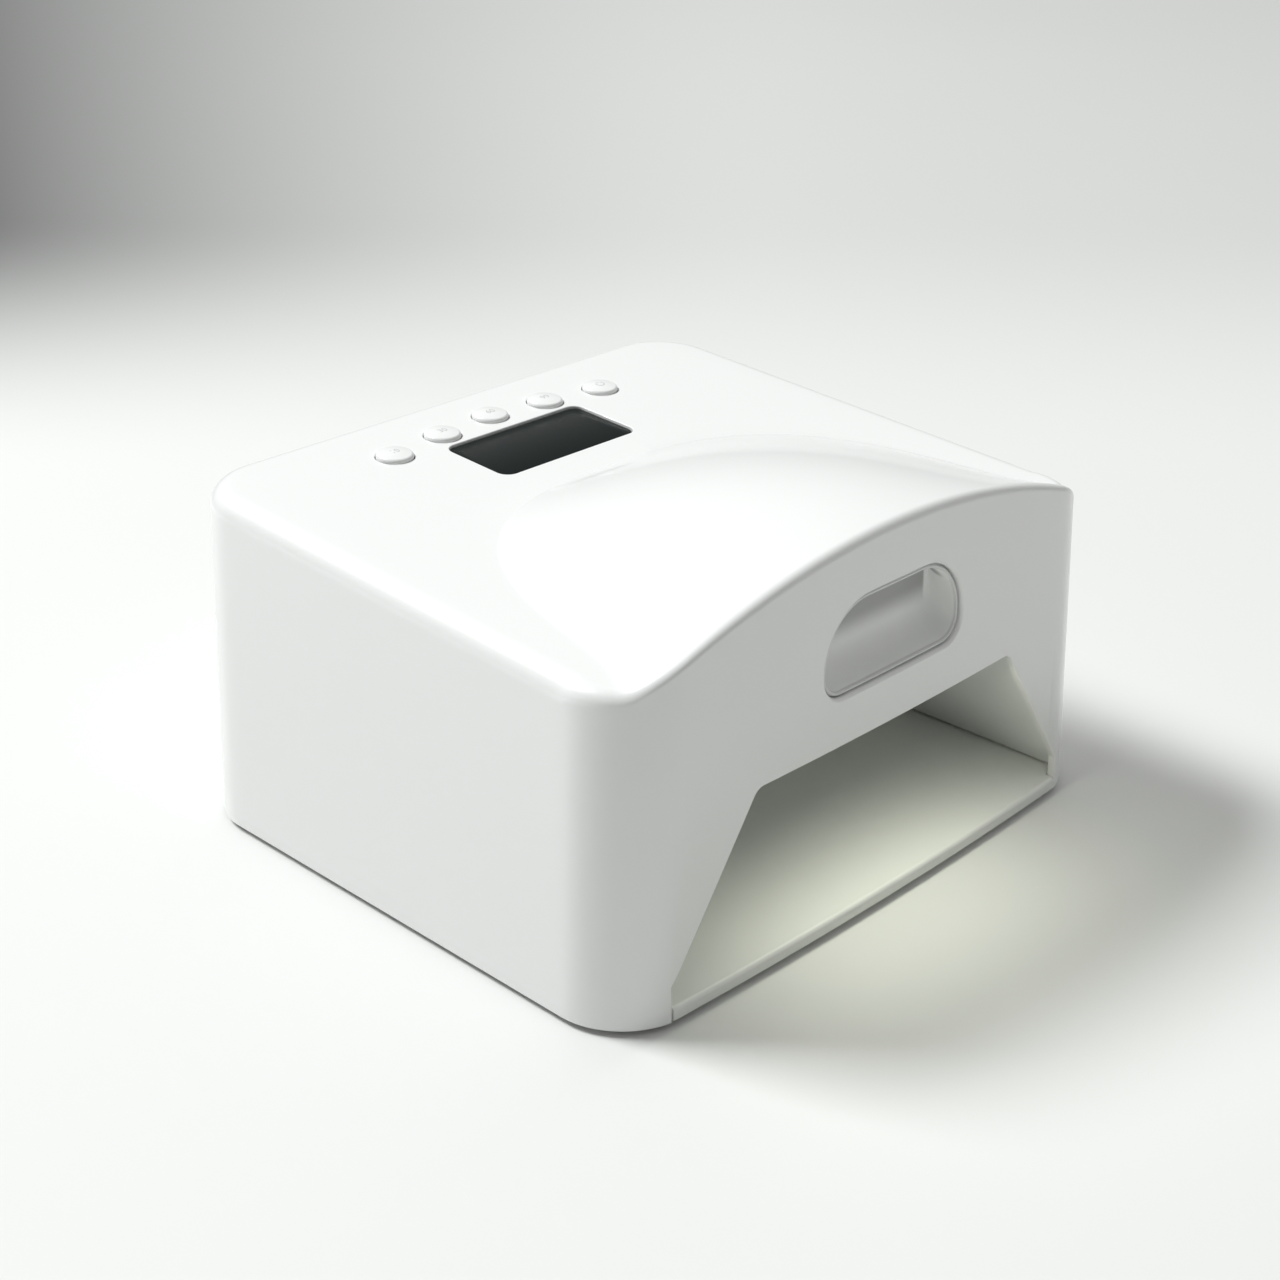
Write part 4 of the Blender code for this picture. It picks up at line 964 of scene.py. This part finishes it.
def base_tray():
    """The lift-away tray, with its front edge rounded over and hollows under it."""
    levels = []
    for inset, rise in quarter_round(TRAY_UNDER_LIP, EDGE_STEPS):
        levels.append((inset, TRAY_LOW + rise))
    for drop, inset in quarter_round(TRAY_LIP, ROUND_STEPS):
        levels.append((inset, TRAY_TOP - drop))
    loops = []
    for inset, height in levels:
        loops += repeated(tray_outline(inset), [height])
    tray = make("hand_tray", loft(loops))
    half = BODY_WIDTH / 2 - TRAY_BORDER - FOOT_RADIUS
    bays = TRAY_RIBS + 1
    width = (half * 2 - TRAY_RIB * TRAY_RIBS) / bays
    front = FRONT_Y + TRAY_BORDER
    rear = REAR_Y - TRAY_BORDER
    work = bmesh.new()
    for bay in range(bays):
        left = -half + bay * (width + TRAY_RIB)
        outline = rectangle(left, front, left + width, rear, TRAY_RECESS_CORNER)
        add_loft(work, repeated(outline, (TRAY_LOW - CUT_OVERRUN, TRAY_TOP - TRAY_SKIN)))
    shape(tray, to_mesh(work))
    low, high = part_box("magnet_1")
    places = [box_middle("magnet_%d" % number) for number in CORNER_NUMBERS]
    profile = [(MAGNET_RADIUS + GAP, low[2] - GAP), (MAGNET_RADIUS + GAP, TRAY_TOP + CUT_OVERRUN)]
    shape(tray, turned(profile, places=places))
    dress(tray, "base", "tray_white", ["base_tray"], TRAY_SHARP)


def discs(prefix, slot, body):
    """Four discs with a rounded edge at both ends, where the solids have them."""
    for number in CORNER_NUMBERS:
        node = "%s_%d" % (prefix, number)
        low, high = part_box(node)
        radius = (high[0] - low[0]) / 2
        height = high[2] - low[2]
        profile = [(radius - inset, rise) for inset, rise in quarter_round(SMALL_EDGE, EDGE_STEPS)]
        profile += [(across, height - rise) for across, rise in reversed(profile)]
        placing = Matrix.Translation((*box_middle(node), low[2]))
        disc = make(node + "_disc", turned(profile), placing)
        dress(disc, body, slot, [node])


def charging_jack():
    """The barrel socket: a collar in the rear wall, its bore and its pin in one skin."""
    low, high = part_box("dc_jack")
    body_radius = (high[0] - low[0]) / 2
    collar_end = SHELL_WALL + GAP
    profile = [
        (JACK_PIN_RADIUS / 2, JACK_PIN_BACKSET),
        (JACK_PIN_RADIUS, JACK_PIN_BACKSET + JACK_PIN_RADIUS / 2),
        (JACK_PIN_RADIUS, JACK_BORE_DEPTH),
        (JACK_BORE_RADIUS, JACK_BORE_DEPTH),
        (JACK_BORE_RADIUS, JACK_RECESS + SMALL_EDGE),
        (JACK_BORE_RADIUS + SMALL_EDGE, JACK_RECESS),
        (JACK_COLLAR_RADIUS - SMALL_EDGE, JACK_RECESS),
        (JACK_COLLAR_RADIUS, JACK_RECESS + SMALL_EDGE),
        (JACK_COLLAR_RADIUS, collar_end),
        (body_radius, collar_end),
        (body_radius, collar_end + JACK_BODY_LENGTH),
    ]
    jack = make("charging_jack", turned(profile), jack_frame())
    dress(jack, "lamp", "dark_plastic", ["dc_jack"])


# Tones of the materials and the floor
BUMP_DISTANCE = 0.0002
COAT_ROUGHNESS = 0.07
DOME_ROUGHNESS = 0.15
DOME_DIM_SHARE = 0.8
WINDOW_SPECULAR = 0.05
FLOOR_DARK = (0.755, 0.76, 0.749)
FLOOR_PALE = (0.775, 0.78, 0.769)
FLOOR_ROUGHNESS = 0.6
FLOOR_SPECULAR = 0.2

# Painted shade in the finger pocket: heights over the slot's bottom and depths behind FRONT_Y
SHADE_LOW = 0.0095
SHADE_HIGH = 0.018
SHADE_SIDE = 0.0275
SHADE_SIDE_BLEND = 0.0012
SHADE_NEAR = 0.001
SHADE_FAR = 0.005
SHADE_LOSS = 0.55
# Painted shade on the pocket's lip, just behind the front face
LIP_SHADE_NEAR = -0.0002
LIP_SHADE_REAR = 0.0006
LIP_SHADE_LOSS = 0.25

# Stage
CAMERA_PLACE = (-0.4654, -0.44995, 0.3679)
CAMERA_AZIMUTH = math.radians(-45.668)
CAMERA_ELEVATION = math.radians(25.625)
CAMERA_ROLL = math.radians(-0.032)
CAMERA_LENS = 60.73
CAMERA_SENSOR = 36.0
FLOOR_SIZE = 12.0
# Painted shade on the floor: where its colour falls off behind the lamp and towards the left
FALLOFF_NEAR = 0.95
FALLOFF_FAR = 1.42
FALLOFF_RIGHT = 0.067
FALLOFF_LEFT = -0.325
FALLOFF_POWER = 1.6
FALLOFF_LOSS = 0.69
FALLOFF_BASE = 0.175
KEY_DIRECTION = (-0.37, 0.69, 1.0)
KEY_DISTANCE = 5.0
KEY_SIZE = 1.6
KEY_STRENGTH = 1.005
KEY_COLOUR = (0.985, 1.0, 1.0)
SKY_COLOUR = (0.99, 1.0, 0.985)
SKY_LOW = 0.02
SKY_HIGH = 0.41
FILL_DIRECTION = (0.75, 0.35, 0.55)
FILL_STRENGTH = 0.38
GLOW_BACK = 0.003
GLOW_DROP = 0.004
GLOW_REACH = 0.042
GLOW_WIDTH = 0.114
GLOW_DEPTH = 0.012
GLOW_SPREAD = math.radians(156)
GLOW_POWER = 0.031
GLOW_COLOUR = (0.97, 1.0, 0.82)


def shader_of(name):
    """A new node material and its parts."""
    material = bpy.data.materials.new(name)
    material.use_nodes = True
    tree = material.node_tree
    return material, tree, tree.nodes["Principled BSDF"]


def object_place(tree):
    """The point in object space."""
    return tree.nodes.new("ShaderNodeTexCoord").outputs["Object"]


def axes_of(tree, vector):
    """The three parts of a vector."""
    split = tree.nodes.new("ShaderNodeSeparateXYZ")
    tree.links.new(vector, split.inputs["Vector"])
    return split.outputs["X"], split.outputs["Y"], split.outputs["Z"]


def noise(tree, scale, detail=2.0, roughness=0.5):
    """A noise texture in object space."""
    texture = tree.nodes.new("ShaderNodeTexNoise")
    texture.inputs["Scale"].default_value = scale
    texture.inputs["Detail"].default_value = detail
    texture.inputs["Roughness"].default_value = roughness
    tree.links.new(object_place(tree), texture.inputs["Vector"])
    return texture.outputs["Fac"]


def two_tone(tree, factor, dark, pale):
    """A colour between two, by a factor."""
    ramp = tree.nodes.new("ShaderNodeValToRGB")
    for element, colour in zip(ramp.color_ramp.elements, (dark, pale)):
        element.color = (*colour, 1)
    tree.links.new(factor, ramp.inputs["Fac"])
    return ramp.outputs["Color"]


def dimmed(tree, colour, share):
    """A colour times a share."""
    scale = tree.nodes.new("ShaderNodeVectorMath")
    scale.operation = "SCALE"
    tree.links.new(colour, scale.inputs["Vector"])
    tree.links.new(share, scale.inputs["Scale"])
    return scale.outputs["Vector"]


def map_range(tree, value, source=(0, 1), target=(0, 1), kind="LINEAR"):
    """A value of the source range spread over the target range."""
    node = tree.nodes.new("ShaderNodeMapRange")
    node.interpolation_type = kind
    for name, limit in zip(("From Min", "From Max", "To Min", "To Max"), (*source, *target)):
        node.inputs[name].default_value = limit
    tree.links.new(value, node.inputs["Value"])
    return node.outputs["Result"]


def smooth_step(tree, value, start, end):
    """0 at start, 1 at end, soft between."""
    return map_range(tree, value, (start, end), kind="SMOOTHSTEP")


def math_node(tree, operation, *values):
    """A math node; each input is a link or a number."""
    node = tree.nodes.new("ShaderNodeMath")
    node.operation = operation
    for socket, value in zip(node.inputs, values):
        if isinstance(value, (int, float)):
            socket.default_value = value
        else:
            tree.links.new(value, socket)
    return node.outputs["Value"]


def moulded(name, colour, roughness, grain=900, bump=0.02, shade=0.015, spread=0.03, coat=0.0):
    """Moulded plastic: fine grain, a little unevenness in gloss and in tone."""
    material, tree, shader = shader_of(name)
    dark = [max(0, part - shade) for part in colour]
    pale = [min(1, part + shade) for part in colour]
    tone = two_tone(tree, noise(tree, scale=14, detail=4), dark, pale)
    tree.links.new(tone, shader.inputs["Base Color"])
    limits = (roughness - spread, roughness + spread)
    uneven = map_range(tree, noise(tree, scale=60, detail=3), target=limits)
    tree.links.new(uneven, shader.inputs["Roughness"])
    relief = tree.nodes.new("ShaderNodeBump")
    relief.inputs["Strength"].default_value = bump
    relief.inputs["Distance"].default_value = BUMP_DISTANCE
    tree.links.new(noise(tree, scale=grain, detail=3, roughness=0.6), relief.inputs["Height"])
    tree.links.new(relief.outputs["Normal"], shader.inputs["Normal"])
    shader.inputs["Coat Weight"].default_value = coat
    shader.inputs["Coat Roughness"].default_value = COAT_ROUGHNESS
    return material


def pocket_with_painted_shade(name, colour, roughness, **settings):
    """Moulded plastic for the pocket with painted shade: deeper in tone on its lip and at the top of
    its rear wall.
    """
    material = moulded(name, colour, roughness, **settings)
    tree = material.node_tree
    base = tree.nodes["Principled BSDF"].inputs["Base Color"]
    x, y, z = axes_of(tree, object_place(tree))
    across = math_node(tree, "ABSOLUTE", x)
    beside = smooth_step(tree, across, SHADE_SIDE, SHADE_SIDE - SHADE_SIDE_BLEND)
    high = smooth_step(tree, z, SLOT_BOTTOM + SHADE_LOW, SLOT_BOTTOM + SHADE_HIGH)
    deep = smooth_step(tree, y, FRONT_Y + SHADE_NEAR, FRONT_Y + SHADE_FAR)
    shade = math_node(tree, "MULTIPLY", math_node(tree, "MULTIPLY", high, beside), deep)
    lip = smooth_step(tree, y, FRONT_Y + LIP_SHADE_REAR, FRONT_Y + LIP_SHADE_NEAR)
    lip_painted_shade = math_node(tree, "MULTIPLY", lip, LIP_SHADE_LOSS)
    painted_shade = math_node(tree, "ADD", lip_painted_shade, math_node(tree, "MULTIPLY", shade, SHADE_LOSS))
    kept = math_node(tree, "SUBTRACT", 1.0, painted_shade)
    tree.links.new(dimmed(tree, base.links[0].from_socket, kept), base)
    return material


def metal(name, colour, roughness):
    """Plated metal with a fine brushed grain."""
    material = moulded(name, colour, roughness, grain=2500, bump=0.05, shade=0.03, spread=0.06)
    material.node_tree.nodes["Principled BSDF"].inputs["Metallic"].default_value = 1.0
    return material


def glowing(name, colour, strength):
    """A clear LED dome that gives off a little light, slightly uneven."""
    material, tree, shader = shader_of(name)
    dark = [part * DOME_DIM_SHARE for part in colour]
    tone = two_tone(tree, noise(tree, scale=700), dark, colour)
    tree.links.new(tone, shader.inputs["Base Color"])
    tree.links.new(tone, shader.inputs["Emission Color"])
    shader.inputs["Emission Strength"].default_value = strength
    shader.inputs["Roughness"].default_value = DOME_ROUGHNESS
    return material


def painted_falloff(tree):
    """Share of the floor's colour kept, as painted shade where light falls off: behind the lamp, most
    of all towards the far left.
    """
    turned_place = tree.nodes.new("ShaderNodeMapping")
    turned_place.vector_type = "TEXTURE"
    turned_place.inputs["Location"].default_value = (*CAMERA_PLACE[:2], 0)
    turned_place.inputs["Rotation"].default_value = (0, 0, CAMERA_AZIMUTH)
    tree.links.new(object_place(tree), turned_place.inputs["Vector"])
    x, y, z = axes_of(tree, turned_place.outputs["Vector"])
    sideways = math_node(tree, "DIVIDE", x, y)
    leftwards = map_range(tree, sideways, (FALLOFF_RIGHT, FALLOFF_LEFT))
    curved = math_node(tree, "POWER", leftwards, FALLOFF_POWER)
    painted_shade = math_node(tree, "MULTIPLY_ADD", curved, FALLOFF_LOSS, FALLOFF_BASE)
    backwards = smooth_step(tree, y, FALLOFF_NEAR, FALLOFF_FAR)
    return math_node(tree, "SUBTRACT", 1.0, math_node(tree, "MULTIPLY", painted_shade, backwards))


def floor_material():
    """A pale floor with painted shade: its tone falls off towards the far left, as the photograph's
    does.
    """
    material, tree, shader = shader_of("studio_floor")
    tone = two_tone(tree, noise(tree, scale=2), FLOOR_DARK, FLOOR_PALE)
    tree.links.new(dimmed(tree, tone, painted_falloff(tree)), shader.inputs["Base Color"])
    shader.inputs["Roughness"].default_value = FLOOR_ROUGHNESS
    shader.inputs["Specular IOR Level"].default_value = FLOOR_SPECULAR
    return material


def place_camera():
    """The photograph's view."""
    data = bpy.data.cameras.new("camera")
    data.lens = CAMERA_LENS
    data.sensor_width = CAMERA_SENSOR
    data.clip_end = FLOOR_SIZE * 2
    camera = add_object("camera", data)
    azimuth, elevation = CAMERA_AZIMUTH, CAMERA_ELEVATION
    back = Vector((
        math.sin(azimuth) * math.cos(elevation),
        -math.cos(azimuth) * math.cos(elevation),
        math.sin(elevation),
    ))
    right = Vector((math.cos(azimuth), math.sin(azimuth), 0))
    up = back.cross(right)
    rolled_right = right * math.cos(CAMERA_ROLL) + up * math.sin(CAMERA_ROLL)
    rolled_up = up * math.cos(CAMERA_ROLL) - right * math.sin(CAMERA_ROLL)
    turn = Matrix((rolled_right, rolled_up, back)).transposed().to_4x4()
    camera.matrix_world = Matrix.Translation(CAMERA_PLACE) @ turn
    bpy.context.scene.camera = camera


def aimed_lamp(name, power, colour, place, aim):
    """A flat lamp at a place, aimed at a point."""
    data = bpy.data.lights.new(name, "AREA")
    data.energy = power
    data.color = colour
    lamp = add_object(name, data)
    direction = Vector(aim) - Vector(place)
    lamp.location = place
    lamp.rotation_euler = direction.to_track_quat("-Z", "Y").to_euler()
    return lamp


def key_light():
    """A soft box high behind the lamp on its left."""
    middle = Vector((0, 0, FRONT_HEIGHT / 2))
    place = middle + Vector(KEY_DIRECTION).normalized() * KEY_DISTANCE
    power = KEY_STRENGTH * (math.pi * KEY_DISTANCE) ** 2
    lamp = aimed_lamp("key_light", power, KEY_COLOUR, place, middle)
    lamp.data.size = KEY_SIZE


def tunnel_glow():
    """The light that the LEDs throw on the tray and out of the tunnel's mouth."""
    place = (0, FRONT_Y + GLOW_BACK, TUNNEL_TOP - GLOW_DROP)
    aim = (0, FRONT_Y - GLOW_REACH, 0)
    lamp = aimed_lamp("tunnel_glow", GLOW_POWER, GLOW_COLOUR, place, aim)
    lamp.data.shape = "RECTANGLE"
    lamp.data.size = GLOW_WIDTH
    lamp.data.size_y = GLOW_DEPTH
    lamp.data.spread = GLOW_SPREAD
    lamp.parent = frame["bodies"]["lamp"]
    lamp.visible_camera = False


def set_world():
    """Pale surroundings, brighter overhead than at the horizon, and brighter on the lamp's right."""
    world = bpy.data.worlds.new("studio")
    bpy.context.scene.world = world
    world.use_nodes = True
    background = world.node_tree.nodes["Background"]
    background.inputs["Color"].default_value = (*SKY_COLOUR, 1)
    tree = world.node_tree
    direction = tree.nodes.new("ShaderNodeTexCoord").outputs["Generated"]
    x, y, z = axes_of(tree, direction)
    towards = tree.nodes.new("ShaderNodeVectorMath")
    towards.operation = "DOT_PRODUCT"
    tree.links.new(direction, towards.inputs[0])
    towards.inputs[1].default_value = Vector(FILL_DIRECTION).normalized()
    fill = map_range(tree, towards.outputs["Value"], target=(0, FILL_STRENGTH))
    sky = map_range(tree, z, target=(SKY_LOW, SKY_HIGH))
    tree.links.new(math_node(tree, "ADD", sky, fill), background.inputs["Strength"])


def stage():
    """Floor, lamps, surroundings and camera."""
    work = bmesh.new()
    bmesh.ops.create_grid(work, x_segments=2, y_segments=2, size=FLOOR_SIZE / 2)
    mesh = bpy.data.meshes.new("floor")
    work.to_mesh(mesh)
    work.free()
    floor = make("floor", mesh)
    floor.data.materials.append(floor_material())
    set_world()
    key_light()
    tunnel_glow()
    place_camera()
    bpy.context.scene.view_settings.view_transform = "Standard"


POLISHED = {"grain": 700, "bump": 0.006, "shade": 0.002, "spread": 0.006}
SATIN = {"grain": 1200, "bump": 0.05, "shade": 0.012}
LACQUER = {"grain": 1600, "bump": 0.08}
FINISHES = {
    "gloss_white": moulded("gloss_white_plastic", (0.875, 0.88, 0.873), 0.34, coat=0.6, **POLISHED),
    "liner_white": moulded("liner_white_plastic", (0.78, 0.79, 0.78), 0.42, **SATIN),
    "tray_white": moulded("tray_white_plastic", (0.82, 0.83, 0.81), 0.38, **SATIN),
    "window_black": moulded(
        "window_smoked_plastic", (0.010, 0.0135, 0.013), 0.2, grain=400, bump=0.004, shade=0.002
    ),
    "lcd_grey": moulded("lcd_grey_glass", (0.25, 0.28, 0.27), 0.3, shade=0.02),
    "board_green": moulded("board_green_lacquer", (0.02, 0.16, 0.07), 0.4, shade=0.012, **LACQUER),
    "board_white": moulded("board_white_lacquer", (0.75, 0.76, 0.74), 0.45, shade=0.02, **LACQUER),
    "dark_plastic": moulded(
        "dark_matt_plastic", (0.03, 0.03, 0.035), 0.45, grain=1500, bump=0.12, shade=0.008
    ),
    "wrap_blue": moulded("blue_sleeve", (0.05, 0.16, 0.35), 0.3, grain=300, bump=0.05, shade=0.02),
    "steel": metal("plated_steel", (0.62, 0.62, 0.60), 0.32),
    "nickel": metal("nickel_plate", (0.70, 0.68, 0.64), 0.22),
    "rubber": moulded("matt_rubber", (0.05, 0.05, 0.05), 0.8, grain=1800, bump=0.25, shade=0.01),
}
window_shader = FINISHES["window_black"].node_tree.nodes["Principled BSDF"]
window_shader.inputs["Specular IOR Level"].default_value = WINDOW_SPECULAR
# The pocket's white is paler than the housing's: painted light in the pocket, under the painted shade
# on its lip and rear wall
pocket = pocket_with_painted_shade("pocket_white_painted_light", (0.96, 0.965, 0.95), 0.45, coat=0.1, **POLISHED)
print_grey = moulded("print_grey_ink", (0.52, 0.53, 0.53), 0.4, grain=1500, shade=0.02)
dome = glowing("led_dome", (0.95, 1.0, 0.72), strength=0.5)


def finish_nodes():
    """Give every CAD node that stays in view the material of its slot."""
    for subpart in frame["record"]["subparts"]:
        node = frame["nodes"][subpart["node"]]
        node.data.materials.clear()
        node.data.materials.append(FINISHES[subpart["material_slot"]])


finish_nodes()
rows = led_rows()
outer_housing()
chamber_liner(rows)
led_boards(dome, rows)
handle_pocket(pocket)
display_window()
button_caps()
button_marks(print_grey)
base_tray()
discs("foot", "rubber", "base")
discs("magnet", "nickel", "base")
discs("striker", "steel", "lamp")
charging_jack()
stage()
